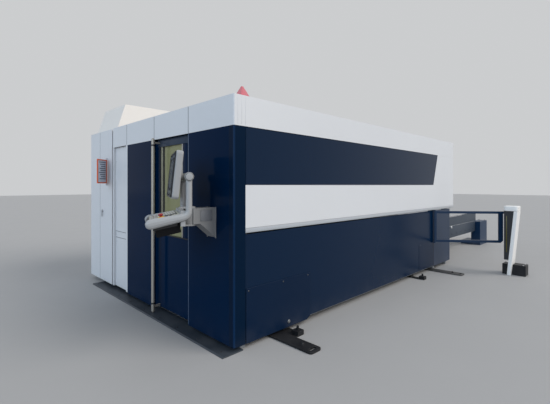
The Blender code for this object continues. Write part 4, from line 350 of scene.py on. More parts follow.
class Direction(Enum):
    """Which way the marks of a drawn metal run."""

    ALONG_X = (2.0, 110.0, 110.0)
    ALONG_Y = (110.0, 2.0, 110.0)
    ALONG_Z = (110.0, 110.0, 2.0)


@dataclass(frozen=True)
class Finish:
    """A surface finish with its own shader."""

    name: str
    colour: Colour
    gloss: Tuple[float, float] = (0.35, 0.45)
    relief: float = 0.0004
    round_edge: float = 0.0025

    def surface(self, wiring: Wiring) -> Dict[str, object]:
        """Add the nodes of the surface.

        Args:
            wiring: the material's wiring.

        Returns:
            Values or sockets by shader input name, and the bump's height under "Height".
        """
        raise NotImplementedError

    def coat(self, wiring: Wiring, name: str, **values: object) -> Ends:
        """Place a shared group with this colour and gloss."""
        return wiring.group(name, Colour=rgba(self.colour), Gloss_Low=self.gloss[0],
                            Gloss_High=self.gloss[1], **values)

    def material(self) -> bpy.types.Material:
        """Build the material, or give it when it exists already."""
        known = bpy.data.materials.get(self.name)
        if known is not None:
            return known
        made = bpy.data.materials.new(self.name)
        made.use_nodes = True
        wiring = Wiring(made.node_tree)
        feeds = self.surface(wiring)
        rounding = wiring.add("ShaderNodeBevel", {"Radius": self.round_edge}, samples=BEVEL_SAMPLES)
        bump = wiring.add("ShaderNodeBump", {"Strength": 0.5, "Distance": self.relief,
                                             "Height": feeds.pop("Height"),
                                             "Normal": rounding.outputs["Normal"]})
        feeds["Normal"] = bump.outputs["Normal"]
        wiring.feed(made.node_tree.nodes["Principled BSDF"], feeds)
        return made


@dataclass(frozen=True)
class Paint(Finish):
    """Sprayed or powder-coated sheet metal."""

    drift: float = 0.07
    peel: float = 240.0
    specular: float = 0.5
    wear: float = 0.25
    bare: Colour = (0.30, 0.30, 0.31)
    dust: float = 0.30
    dust_reach: float = 0.35

    def surface(self, wiring: Wiring) -> Dict[str, object]:
        """Film, dust and worn edges of the coat."""
        film = self.coat(wiring, "Paint film", Drift=self.drift, Peel_Scale=self.peel)
        dusty = wiring.group("Settled dust", Colour=film["Colour"], Reach=self.dust_reach, Amount=self.dust)
        worn = wiring.group("Worn edge", Colour=dusty["Colour"], Bare_Colour=rgba(self.bare),
                            Amount=self.wear)
        return {
            "Base Color": worn["Colour"],
            "Roughness": wiring.plus(film["Roughness"], wiring.times(dusty["Mask"], 0.4)),
            "Metallic": 0.0,
            "Specular IOR Level": self.specular,
            "Height": film["Height"],
        }


@dataclass(frozen=True)
class TopPaint(Paint):
    """Paint of a deck whose sides and underside have another colour."""

    side_colour: Colour = (0.012, 0.012, 0.014)

    def surface(self, wiring: Wiring) -> Dict[str, object]:
        """The coat on top, the other colour on every face that doesn't look up."""
        feeds = super().surface(wiring)
        mask = wiring.group("Upward faces", Least_Rise=0.9)["Mask"]
        feeds["Base Color"] = wiring.blend(mask, rgba(self.side_colour), feeds["Base Color"])
        return feeds


@dataclass(frozen=True)
class Metal(Finish):
    """Bare, plated or anodised metal."""

    along: Direction = Direction.ALONG_X
    drift: float = 0.25
    metallic: float = 1.0

    def surface(self, wiring: Wiring) -> Dict[str, object]:
        """Drawn marks along the metal's working direction."""
        drawn = self.coat(wiring, "Drawn metal", Stretch=self.along.value, Drift=self.drift)
        return {"Base Color": drawn["Colour"], "Roughness": drawn["Roughness"], "Metallic": self.metallic,
                "Height": drawn["Height"]}


@dataclass(frozen=True)
class Moulded(Finish):
    """Moulded plastic or rubber."""

    grain: float = 700.0
    clear: float = 0.0
    glow: float = 0.0
    through: float = 0.0

    def surface(self, wiring: Wiring) -> Dict[str, object]:
        """Grain, with a gloss coat, a glow or some light let through where the piece has it."""
        grain = self.coat(wiring, "Moulded grain", Grain_Scale=self.grain)
        return {"Base Color": grain["Colour"], "Roughness": grain["Roughness"], "Coat Weight": self.clear,
                "Transmission Weight": self.through, "Emission Color": rgba(self.colour),
                "Emission Strength": self.glow, "Height": grain["Height"]}


@dataclass(frozen=True)
class Pane(Finish):
    """Tinted pane that shows a little of what is behind it."""

    cover: float = 0.9
    specular: float = 0.5

    def surface(self, wiring: Wiring) -> Dict[str, object]:
        """Even tint with wipe marks in its gloss."""
        film = self.coat(wiring, "Paint film", Drift=0.12, Peel_Scale=1.2)
        dusty = wiring.group("Settled dust", Colour=film["Colour"], Reach=0.4, Amount=0.12)
        return {"Base Color": dusty["Colour"], "Roughness": film["Roughness"],
                "Specular IOR Level": self.specular, "Alpha": self.cover, "Height": film["Height"]}


WHITE_COAT = Paint("white powder coat", (0.665, 0.67, 0.68), (0.34, 0.46), wear=0.10, dust=0.10, drift=0.05)
# Brighter, warmer copy of the white coat for the hood: painted warm light that offsets the blue fill.
HOOD_LIT_WHITE = Paint("hood white, painted warm light", (0.78, 0.730, 0.672), (0.40, 0.52), wear=0.08, dust=0.10, drift=0.05)
ROOF_GREY = Paint("roof sheet grey", (0.50, 0.51, 0.52), (0.42, 0.55), wear=0.10, dust=0.35, drift=0.08)
# Grey for painted shade along the white band's lower edge.
LIP_SHADE_GREY = Paint("band lip painted shade", (0.42, 0.44, 0.46), (0.38, 0.48), wear=0.10)
DEEP_BLUE = Paint("deep blue enamel", (0.0002, 0.0115, 0.0385), (0.09, 0.14), 0.00004, specular=0.035,
                  wear=0.04, dust=0.04, drift=0.30, peel=90.0)
SIDE_BLUE = Paint("side panel blue", (0.0002, 0.0120, 0.0385), (0.22, 0.27), 0.00006, specular=0.155,
                  wear=0.06, dust=0.07, drift=0.16)
COVER_BLUE = replace(SIDE_BLUE, name="side cover blue", colour=(0.0002, 0.0108, 0.0360), specular=0.145,
                     drift=0.14)
END_BLUE = Paint("end panel blue", (0.0190, 0.0350, 0.0700), (0.30, 0.38), 0.0001, specular=0.18, wear=0.12,
                 dust=0.14, drift=0.15)
POST_BLUE = Paint("corner post blue", (0.0004, 0.0095, 0.0290), (0.20, 0.28), 0.00008, specular=0.06,
                  wear=0.05, dust=0.05, drift=0.15)
# Lighter blue for a painted highlight on rounded sheet edges.
EDGE_HIGHLIGHT_BLUE = Paint("edge highlight blue", (0.0014, 0.0200, 0.0620), (0.24, 0.32), 0.00008, specular=0.12,
                  wear=0.06, dust=0.04, drift=0.12)
# Lighter blue for a painted reflection on the leaf's head, in the shadow of the fascia.
HEAD_REFLECTION_BLUE = replace(EDGE_HIGHLIGHT_BLUE, name="head strip painted reflection", colour=(0.034, 0.050, 0.078), wear=0.05, dust=0.0,
                    drift=0.15)
# Much lighter blue for a painted highlight beside the door opening.
RIM_HIGHLIGHT_BLUE = replace(EDGE_HIGHLIGHT_BLUE, name="opening rim highlight", colour=(0.070, 0.105, 0.165), specular=0.25,
                   wear=0.05, dust=0.0, drift=0.10)
SLATE = Paint("slate blue coat", (0.046, 0.060, 0.080), (0.36, 0.46), specular=0.20, wear=0.22, dust=0.20,
              drift=0.18)
# Slightly darker slate: painted shade on the lower part of the lift beams.
SKIRT_SHADE_BLUE = replace(SLATE, name="lift beam painted shade", colour=(0.040, 0.054, 0.075), gloss=(0.34, 0.44))
BLOCK_BLUE = replace(SLATE, name="lift block blue", colour=(0.006, 0.028, 0.072), gloss=(0.30, 0.40),
                     specular=0.18, wear=0.25)
GATE_BLUE = Paint("gate tube blue", (0.010, 0.031, 0.072), (0.26, 0.36), specular=0.35, wear=0.26,
                  drift=0.18)
PRIMER = Paint("frame primer grey", (0.16, 0.175, 0.19), (0.50, 0.62), wear=0.15, dust=0.35, drift=0.15)
SHELL_GREY = Paint("console lacquer", (0.350, 0.352, 0.352), (0.32, 0.40), 0.0002, wear=0.12, dust=0.0,
                   drift=0.06, round_edge=0.004)
SCREEN_SHELL = replace(SHELL_GREY, name="monitor lacquer", colour=(0.330, 0.332, 0.332), gloss=(0.34, 0.42))
BRACKET_GREY = Paint("bracket lacquer", (0.245, 0.247, 0.250), (0.34, 0.42), 0.0002, wear=0.14, dust=0.0,
                     drift=0.06)
BRACKET_COVER = replace(BRACKET_GREY, name="bracket cover lacquer", colour=(0.190, 0.198, 0.215), wear=0.10)
LEVER_GREY = replace(BRACKET_GREY, name="lever lacquer", colour=(0.45, 0.46, 0.47), gloss=(0.36, 0.46),
                     wear=0.12)
CREAM = TopPaint("cream lacquer", (0.60, 0.57, 0.47), (0.38, 0.48), 0.0002, wear=0.20, dust=0.0, drift=0.08)
BLACKED = Paint("blackened steel", (0.0085, 0.0090, 0.0110), (0.38, 0.55), specular=0.22, wear=0.40,
                dust=0.06, drift=0.40, bare=(0.22, 0.22, 0.22))
TREAD = Paint("threshold plate", (0.020, 0.030, 0.043), (0.36, 0.55), 0.0008, specular=0.30, wear=0.45,
              dust=0.12, drift=0.50, peel=60.0, bare=(0.26, 0.26, 0.26))
# Very black for the under-tray holder, which also paints the shade under the tray.
HOLDER_SHADE_BLACK = Paint("under-tray black and painted shade", (0.0045, 0.0045, 0.0055), (0.50, 0.62), 0.0001, specular=0.12,
                     wear=0.04, dust=0.0, drift=0.2)
COLUMN_WHITE = Paint("column white coat", (0.86, 0.83, 0.79), (0.34, 0.46), wear=0.14, dust=0.12, drift=0.05)
FLOOR_GREY = Paint("studio floor", (0.385, 0.375, 0.365), (0.55, 0.70), 0.0005, drift=0.05, wear=0.0,
                   dust=0.0, specular=0.25)
WARM_ANODISED = Metal("warm anodised", (0.43, 0.395, 0.345), (0.36, 0.46), 0.00006, along=Direction.ALONG_Z,
                      drift=0.10, metallic=0.55)
PANE_BEAD = replace(WARM_ANODISED, name="olive anodised bead", colour=(0.290, 0.275, 0.195),
                    gloss=(0.30, 0.40), metallic=0.30)
ZINC = Metal("zinc sheet", (0.50, 0.52, 0.54), (0.38, 0.52), 0.0001, along=Direction.ALONG_Y, drift=0.22)
DULL_ZINC = replace(ZINC, name="dull zinc", colour=(0.24, 0.25, 0.26), gloss=(0.40, 0.52))
BRIGHT = Metal("bright steel", (0.58, 0.58, 0.59), (0.22, 0.36), 0.0001)
SLATTED = Metal("cut pallet steel", (0.40, 0.375, 0.35), (0.40, 0.62), 0.0005, along=Direction.ALONG_Y,
                drift=0.60, metallic=0.85)
COPPER = Metal("nozzle copper", (0.72, 0.38, 0.22), (0.20, 0.30), 0.00005, along=Direction.ALONG_Z,
               drift=0.20)
BAR_STEEL = Metal("rolled bar steel", (0.15, 0.148, 0.145), (0.42, 0.58), 0.0003, along=Direction.ALONG_Y,
                  drift=0.5)
GASKET = Moulded("black gasket rubber", (0.012, 0.012, 0.013), (0.60, 0.75), 0.0003, grain=500.0)
BLACK_GRAIN = Moulded("black moulded plastic", (0.014, 0.014, 0.016), (0.40, 0.55), 0.0002, grain=800.0)
BUTTON_WARM = Moulded("button warm grey", (0.40, 0.345, 0.31), (0.45, 0.55), 0.0001, grain=900.0)
KEY_GREY = Moulded("keycap grey", (0.47, 0.455, 0.41), (0.50, 0.60), 0.0001, grain=900.0)
KEY_DARK = Moulded("keycap dark", (0.045, 0.047, 0.052), (0.45, 0.55), 0.0001, grain=900.0)
SIGNAL_RED = Moulded("signal red", (0.30, 0.010, 0.014), (0.28, 0.36), 0.00005, clear=0.2)
SIGNAL_YELLOW = Moulded("signal yellow", (0.80, 0.46, 0.02), (0.30, 0.40), 0.00005, clear=0.3)
SLEEVE_ORANGE = Moulded("sleeve orange", (0.74, 0.115, 0.030), (0.35, 0.45), 0.0001)
PAPER = Moulded("document paper", (0.60, 0.63, 0.70), (0.60, 0.70), 0.0001, grain=1500.0)
INK = Moulded("document ink", (0.085, 0.105, 0.150), (0.60, 0.70), 0.0001)
LENS_RED = Moulded("beacon lens", (0.78, 0.16, 0.20), (0.12, 0.20), 0.0002, clear=0.6, through=0.25)
CURTAIN_YELLOW = Moulded("sensor window", (0.115, 0.098, 0.022), (0.14, 0.20), 0.0001)
SCREEN_DARK = Moulded("screen glass", (0.010, 0.014, 0.020), (0.14, 0.20), 0.00002, clear=0.25)
SCREEN_BLUE = Moulded("screen field blue", (0.012, 0.026, 0.048), (0.20, 0.26), 0.00002, glow=0.25)
SCREEN_PALE = replace(SCREEN_BLUE, name="screen field pale", colour=(0.060, 0.070, 0.070))
WHITE_CLIP = Moulded("white clip", (0.80, 0.80, 0.78), (0.40, 0.50), 0.0001)
WINDOW_BLUE = Pane("long window tint", (0.0002, 0.0122, 0.0385), (0.03, 0.07), 0.0003, cover=0.98,
                   specular=0.20)
LASER_PANE = Pane("laser-safe pane", (0.285, 0.275, 0.140), (0.05, 0.10), 0.0003, cover=0.84, specular=0.25)


# Places and meshes


class Facing(Enum):
    """Which way the flat side of a repeated piece looks, as Euler angles."""

    TO_SIDE = (math.radians(90.0), 0.0, 0.0)
    TO_BACK = (math.radians(-90.0), 0.0, 0.0)
    TO_DOOR = (0.0, math.radians(-90.0), 0.0)
    TO_CHANGER = (0.0, math.radians(90.0), 0.0)
    UP = (0.0, 0.0, 0.0)
    LOUVRE_TO_CHANGER = (math.radians(90.0), 0.0, math.radians(90.0))
    LOUVRE_TO_BACK = (math.radians(90.0), 0.0, math.radians(180.0))

    def at(self, x: float, y: float, z: float) -> Matrix:
        """Matrix of a piece that stands at a point and looks this way."""
        return shift(x, y, z) @ Euler(self.value).to_matrix().to_4x4()


def low(node: str) -> Vector:
    """Lowest corner of a solid at rest."""
    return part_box(node)[0]


def high(node: str) -> Vector:
    """Highest corner of a solid at rest."""
    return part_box(node)[1]


def pivot(name: str) -> Point:
    """Where a joint's axis stands."""
    return next(joint for joint in FRAME["joints"] if joint["name"] == name)["pos_m"]


def shift(x: float = 0.0, y: float = 0.0, z: float = 0.0) -> Matrix:
    """Move by three distances."""
    return Matrix.Translation((x, y, z))


def turn(degrees: float, axis: str) -> Matrix:
    """Turn about an axis through the origin."""
    return Matrix.Rotation(math.radians(degrees), 4, axis)


def spaced(start: float, stop: float, count: int) -> List[float]:
    """Evenly spaced values from start to stop."""
    return [start + (stop - start) * step / (count - 1) for step in range(count)]


def rectangle(low_u: float, low_v: float, high_u: float, high_v: float) -> Outline:
    """Outline of a rectangle."""
    return [(low_u, low_v), (high_u, low_v), (high_u, high_v), (low_u, high_v)]


def circle(radius: float, steps: int) -> Outline:
    """Outline of a circle."""
    angles = [2 * math.pi * step / steps for step in range(steps)]
    return [(radius * math.cos(angle), radius * math.sin(angle)) for angle in angles]


def skinned(rings: Sequence[Sequence[Point]], endless: bool = False) -> Form:
    """Solid through rings of points.

    Args:
        rings: rings with the same number of points, in order.
        endless: join the last ring to the first; otherwise both ends are closed with a face.

    Returns:
        The solid with its faces outwards.
    """
    form = bmesh.new()
    loops = [[form.verts.new(point) for point in ring] for ring in rings]
    for first, second in zip(loops, loops[1:] + (loops[:1] if endless else [])):
        for corners in zip(first, first[1:] + first[:1], second[1:] + second[:1], second):
            form.faces.new(corners)
    if not endless:
        form.faces.new(loops[0])
        form.faces.new(loops[-1])
    bmesh.ops.recalc_face_normals(form, faces=form.faces)
    return form


def prism(outline: Outline, start: float, stop: float) -> Form:
    """Upright solid between two copies of an outline."""
    return skinned([[(u, v, height) for u, v in outline] for height in (start, stop)])


def softened(form: Form, ease: float, segments: int = 2) -> Form:
    """The form with all its edges rounded."""
    bmesh.ops.bevel(form, geom=list(form.edges), offset=ease, segments=segments, affect="EDGES", profile=0.5)
    return form


def eased_block(first: Point, last: Point, ease: float, segments: int = 2) -> Form:
    """Block with rounded edges.

    Args:
        first: lowest corner.
        last: highest corner.
        ease: radius of the edges.
        segments: faces across each rounding.

    Returns:
        The solid.
    """
    return softened(prism(rectangle(first[0], first[1], last[0], last[1]), first[2], last[2]), ease,
                    segments)


def turned(profile: Sequence[Tuple[float, float]], steps: int = 24) -> Form:
    """Solid of revolution about Z from radius and height pairs, closed at both ends."""
    return skinned([[(x, y, height) for x, y in circle(radius, steps)] for radius, height in profile])


def ring_bar(radius: float, bar: float, steps: int = 20, sides: int = 8) -> Form:
    """Closed ring of round bar, standing in the XZ plane."""
    rings = [[((radius + out) * x, side, (radius + out) * z) for out, side in circle(bar, sides)]
             for x, z in circle(1.0, steps)]
    return skinned(rings, endless=True)


def gathered(forms: Sequence[Form]) -> Form:
    """Several forms as one, side by side."""
    whole = bmesh.new()
    for form in forms:
        spare = bpy.data.meshes.new("spare")
        form.to_mesh(spare)
        form.free()
        whole.from_mesh(spare)
        bpy.data.meshes.remove(spare)
    return whole


def moved(form: Form, matrix: Matrix) -> Form:
    """The form after a move or turn."""
    bmesh.ops.transform(form, matrix=matrix, verts=form.verts)
    return form


def placed(name: str, mesh: bpy.types.Mesh, smooth_deg: float = SMOOTH_DEG) -> Item:
    """Link a mesh as an object at the origin, smooth where its edges are flatter than smooth_deg."""
    mesh.shade_smooth()
    mesh.set_sharp_from_angle(angle=math.radians(smooth_deg))
    item = bpy.data.objects.new(name, mesh)
    bpy.context.scene.collection.objects.link(item)
    return item


def piece_from(name: str, form: Form, finish: Finish, smooth_deg: float = SMOOTH_DEG) -> Item:
    """Turn a form in the frame's axes into an object with its finish."""
    mesh = bpy.data.meshes.new(name)
    form.to_mesh(mesh)
    form.free()
    mesh.materials.append(finish.material())
    return placed(name, mesh, smooth_deg)


# Geometry Nodes trees for what repeats or follows a line


class GeometryTrees(NodeGroups):
    """The three geometry trees, driven by named inputs."""

    tree_type = "GeometryNodeTree"

    def makers(self) -> Dict[str, Callable[[], None]]:
        """The methods that build the trees, by tree name."""
        return {"Lattice": self.lattice, "On points": self.on_points, "Sweep": self.sweep}

    def open(self, name: str, inputs: Dict[str, object]) -> Wiring:
        """Open a tree with a geometry input, the named inputs, a finish and a geometry output."""
        ends = {"Geometry": Socket.GEOMETRY}
        return self.start(name, {**ends, **inputs, "Finish": Socket.MATERIAL}, ends)

    def close(self, wiring: Wiring, geometry: Wire) -> None:
        """End a tree in Realize Instances and Set Material."""
        real = wiring.add("GeometryNodeRealizeInstances", {"Geometry": geometry})
        feeds = {"Geometry": real.outputs[0], "Material": wiring.source["Finish"]}
        wiring.give(Geometry=wiring.add("GeometryNodeSetMaterial", feeds).outputs[0])

    def spun(self, wiring: Wiring) -> Wire:
        """Random turn about Z, up to the Spin input, from the Seed input."""
        chance = wiring.add("FunctionNodeRandomValue", data_type="FLOAT")
        ends = {socket.identifier: socket for socket in (*chance.inputs, *chance.outputs)}
        wiring.tree.links.new(wiring.source["Spin"], ends["Max_001"])
        wiring.tree.links.new(wiring.source["Seed"], ends["Seed"])
        return wiring.add("ShaderNodeCombineXYZ", {"Z": ends["Value_001"]}).outputs[0]

    def copies(self, wiring: Wiring, points: Wire, way: Wire) -> Wire:
        """Copies of the Piece input on points."""
        taken = wiring.add("GeometryNodeObjectInfo", {"Object": wiring.source["Piece"]})
        feeds = {"Points": points, "Instance": taken.outputs["Geometry"], "Rotation": way}
        return wiring.add("GeometryNodeInstanceOnPoints", feeds).outputs["Instances"]

    def lattice(self) -> None:
        """Copies of a small piece in columns and rows, laid flat and then turned into place."""
        origin = (0.0, 0.0, 0.0)
        wiring = self.open("Lattice", {"Piece": Socket.OBJECT, "Columns": 2, "Rows": 1, "Column Pitch": 0.1,
                                       "Row Pitch": 0.1, "Spin": 0.0, "Seed": 7, "Place": origin,
                                       "Turn": origin})
        source = wiring.source
        lines = []
        for count, pitch, axis in (("Columns", "Column Pitch", "X"), ("Rows", "Row Pitch", "Y")):
            step = wiring.add("ShaderNodeCombineXYZ", {axis: source[pitch]})
            feeds = {"Count": source[count], "Offset": step.outputs[0]}
            line = wiring.add("GeometryNodeMeshLine", feeds, mode="OFFSET", count_mode="TOTAL")
            lines.append(line.outputs["Mesh"])
        grid = wiring.add("GeometryNodeInstanceOnPoints", {"Points": lines[0], "Instance": lines[1]})
        flat = wiring.add("GeometryNodeRealizeInstances", {"Geometry": grid.outputs["Instances"]})
        field = self.copies(wiring, flat.outputs[0], self.spun(wiring))
        put = {"Geometry": field, "Translation": source["Place"], "Rotation": source["Turn"]}
        self.close(wiring, wiring.add("GeometryNodeTransform", put).outputs[0])

    def on_points(self) -> None:
        """A copy of a small piece on every point of the carrier mesh, all facing one way."""
        wiring = self.open("On points", {"Piece": Socket.OBJECT, "Spin": 0.0, "Seed": 3,
                                         "Turn": (0.0, 0.0, 0.0)})
        copies = self.copies(wiring, wiring.source["Geometry"], wiring.source["Turn"])
        spun = wiring.add("GeometryNodeRotateInstances", {"Instances": copies,
                                                          "Rotation": self.spun(wiring)})
        self.close(wiring, spun.outputs[0])

    def sweep(self) -> None:
        """A rounded section drawn along the carrier curve, whose corners get the Corner radius."""
        wiring = self.open("Sweep", {"Corner": 0.01, "Section Width": 0.01, "Section Height": 0.01})
        source = wiring.source
        feeds = {"Curve": source["Geometry"], "Count": 4, "Radius": source["Corner"]}
        eased = wiring.add("GeometryNodeFilletCurve", feeds, mode="POLY")
        feeds = {"Width": source["Section Width"], "Height": source["Section Height"]}
        section = wiring.add("GeometryNodeCurvePrimitiveQuadrilateral", feeds)
        ease = wiring.times(source["Section Height"], 0.25)
        feeds = {"Curve": section.outputs[0], "Count": 2, "Radius": ease}
        rounded = wiring.add("GeometryNodeFilletCurve", feeds, mode="POLY")
        feeds = {"Curve": eased.outputs[0], "Profile Curve": rounded.outputs[0], "Fill Caps": True}
        swept = wiring.add("GeometryNodeCurveToMesh", feeds)
        self.close(wiring, swept.outputs[0])


TREES = GeometryTrees()


def grown(name: str, tree: str, carrier: bpy.types.ID, finish: Finish, **values: object) -> Item:
    """Run a geometry tree on a carrier and keep its result as a plain mesh.

    Args:
        name: the new piece's name.
        tree: name of the geometry tree.
        carrier: mesh or curve that the tree starts from.
        finish: the surface of the result.
        values: the tree's inputs by name, with underscores for spaces.

    Returns:
        The plain object at the origin.
    """
    holder = bpy.data.objects.new(name + "_carrier", carrier)
    bpy.context.scene.collection.objects.link(holder)
    modifier = holder.modifiers.new(tree, "NODES")
    modifier.node_group = TREES.get(tree)
    known = {item.name: item.identifier for item in modifier.node_group.interface.items_tree
             if item.in_out == "INPUT"}
    for label, value in {**values, "Finish": finish.material()}.items():
        modifier[known[label.replace("_", " ")]] = value
    holder.update_tag()
    mesh = bpy.data.meshes.new_from_object(holder.evaluated_get(bpy.context.evaluated_depsgraph_get()))
    mesh.name = name
    bpy.data.objects.remove(holder)
    return placed(name, mesh)


def points_mesh(points: Sequence[Point] = ()) -> bpy.types.Mesh:
    """Mesh of loose points that carries repeated pieces."""
    mesh = bpy.data.meshes.new("points")
    mesh.from_pydata([tuple(point) for point in points], [], [])
    return mesh


def path_curve(points: Sequence[Point], closed: bool) -> bpy.types.Curve:
    """Straight-sided curve through the points that carries a swept section."""
    curve = bpy.data.curves.new("path", "CURVE")
    curve.dimensions = "3D"
    spline = curve.splines.new("POLY")
    spline.points.add(len(points) - 1)
    for knot, point in zip(spline.points, points):
        knot.co = (*point, 1.0)
    spline.use_cyclic_u = closed
    return curve


class Head(Enum):
    """Heads of screws and bolts: sides and profile of each turned part, for a radius of 1."""

    SCREW = ((12, ((1.0, 0.0), (1.0, 0.25), (0.8, 0.5), (0.5, 0.6), (0.42, 0.6), (0.36, 0.3))),)
    HEXAGON = ((16, ((1.5, 0.0), (1.5, 0.16), (0.6, 0.18))), (6, ((1.0, 0.17), (1.0, 0.8), (0.86, 0.92))),
               (10, ((0.5, 0.9), (0.5, 1.25), (0.42, 1.35))))

    def form(self, radius: float) -> Form:
        """The head at its size, standing on its seat and looking along Z."""
        return gathered([turned([(radius * out, radius * up) for out, up in profile], sides)
                         for sides, profile in self.value])


class Hardware:
    """Small standard pieces that are repeated by the geometry trees."""

    def __init__(self) -> None:
        """Start with no pattern made."""
        self.patterns: Dict[str, Item] = {}

    def pattern(self, name: str, make: Callable[[], Form]) -> Item:
        """Give the pattern object of a repeated piece, making it at its first use."""
        if name not in self.patterns:
            self.patterns[name] = piece_from("pattern_" + name, make(), BRIGHT)
        return self.patterns[name]

    def screw(self, radius: float) -> Item:
        """Button-head screw with a sunk socket."""
        return self.pattern(f"screw_{radius}", lambda: Head.SCREW.form(radius))

    def hexagon(self, radius: float) -> Item:
        """Hexagon bolt head on its washer."""
        return self.pattern(f"hexagon_{radius}", lambda: Head.HEXAGON.form(radius))

    def louvre(self, width: float, height: float, rise: float) -> Item:
        """Pressed louvre with a slanted hood, looking along Z with its mouth towards -Y."""

        def make() -> Form:
            """Wedge with drawn-in ends."""
            outline = ((-height / 2, 0.0), (height / 2, 0.0), (-height / 2 + rise * 0.3, rise),
                       (-height / 2, rise * 0.85))
            form = skinned([[(end, v, w) for v, w in outline] for end in (-width / 2, width / 2)])
            for vert in form.verts:
                if vert.co.z > rise * 0.5:
                    vert.co.x *= 1.0 - 2.5 * rise / width
            return form

        return self.pattern(f"louvre_{width}_{height}", make)

    def keycap(self, width: float, depth: float, rise: float, taper: float = 0.16) -> Item:
        """Keycap with sloped sides and a softened top."""

        def make() -> Form:
            """Block drawn in at its top and eased."""
            form = eased_block((-width / 2, -depth / 2, 0.0), (width / 2, depth / 2, rise), rise * 0.22)
            for vert in form.verts:
                share = 1.0 - taper * max(0.0, vert.co.z / rise)
                vert.co.x *= share
                vert.co.y *= share
            return form

        return self.pattern(f"keycap_{width}_{depth}", make)

    def clear(self) -> None:
        """Remove the patterns once everything is built."""
        for item in self.patterns.values():
            bpy.data.objects.remove(item)


HARDWARE = Hardware()


# Sub-assemblies


@dataclass
class SubAssembly:
    """What every sub-assembly has: the body that it mostly rides on, and ways to add pieces."""

    body: str = "machine"

    def dress(self, finish: Finish, *nodes: str) -> None:
        """Give carried-over solids a finish."""
        for name in nodes:
            data = FRAME["nodes"][name].data
            data.materials.clear()
            data.materials.append(finish.material())

    def keep(self, item: Item, slot: str, body: Optional[str] = None) -> Item:
        """Fix a finished piece to its body and log it.

        Args:
            item: the piece.
            slot: the record's material slot; not used.
            body: another body than the sub-assembly's own.

        Returns:
            The piece.
        """
        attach(item, body or self.body)
        log.info("piece %s rides on %s, %d faces", item.name, body or self.body, len(item.data.polygons))
        return item

    def solid(self, name: str, form: Form, finish: Finish, slot: str, body: Optional[str] = None,
              smooth_deg: float = SMOOTH_DEG) -> Item:
        """Keep a form as a piece."""
        return self.keep(piece_from(name, form, finish, smooth_deg), slot, body)

    def blocks(self, name: str, boxes: Sequence[Box], ease: float, finish: Finish, slot: str,
               body: Optional[str] = None, segments: int = 2, axes: Optional[Matrix] = None) -> Item:
        """Keep rounded blocks as one piece.

        Args:
            name: the piece's name.
            boxes: lowest and highest corner of each block.
            ease: radius of the edges.
            finish: surface of the blocks.
            slot: the record's material slot.
            body: another body than the sub-assembly's own.
            segments: faces across each rounding.
            axes: the corners' own axes, where they aren't the frame's.

        Returns:
            The piece.
        """
        form = gathered([eased_block(first, last, ease, segments) for first, last in boxes])
        return self.solid(name, moved(form, axes or Matrix.Identity(4)), finish, slot, body)

    def lattice(self, name: str, piece: Item, count: Tuple[int, int], pitch: Tuple[float, float],
                place: Point, turned_by: Point, finish: Finish, slot: str, spin: float = 0.0,
                body: Optional[str] = None) -> Item:
        """Copies of a small piece in columns and rows.

        Args:
            name: the name of the copies as one piece.
            piece: the pattern.
            count: columns and rows.
            pitch: distance between columns and between rows.
            place: where the first copy stands.
            turned_by: Euler angles of the whole field.
            finish: surface of the copies.
            slot: the record's material slot.
            spin: highest random turn of a copy.
            body: another body than the sub-assembly's own.

        Returns:
            The piece.
        """
        item = grown(name, "Lattice", points_mesh(), finish, Piece=piece, Columns=count[0], Rows=count[1],
                     Column_Pitch=pitch[0], Row_Pitch=pitch[1], Spin=spin, Place=tuple(place),
                     Turn=tuple(turned_by))
        return self.keep(item, slot, body)

    def scatter(self, name: str, piece: Item, points: Sequence[Point], facing: Facing, finish: Finish,
                slot: str, spin: float, seed: int, body: Optional[str] = None) -> Item:
        """Copies of a small piece on given points, each turned at random up to spin."""
        item = grown(name, "On points", points_mesh(points), finish, Piece=piece, Spin=spin, Seed=seed,
                     Turn=facing.value)
        return self.keep(item, slot, body)

    def screws(self, name: str, points: Sequence[Point], facing: Facing, slot: str, radius: float,
               finish: Finish = BRIGHT, body: Optional[str] = None) -> Item:
        """Screws whose heads stand on given points."""
        return self.scatter(name, HARDWARE.screw(radius), points, facing, finish, slot, math.pi, 3, body)

    def seal(self, name: str, points: Sequence[Point], section: Tuple[float, float], finish: Finish,
             slot: str, corner: float, closed: bool = True, body: Optional[str] = None) -> Item:
        """Seal, bead or rail of one section, width by height, along a line."""
        item = grown(name, "Sweep", path_curve(points, closed), finish, Corner=corner,
                     Section_Width=section[0], Section_Height=section[1])
        return self.keep(item, slot, body)


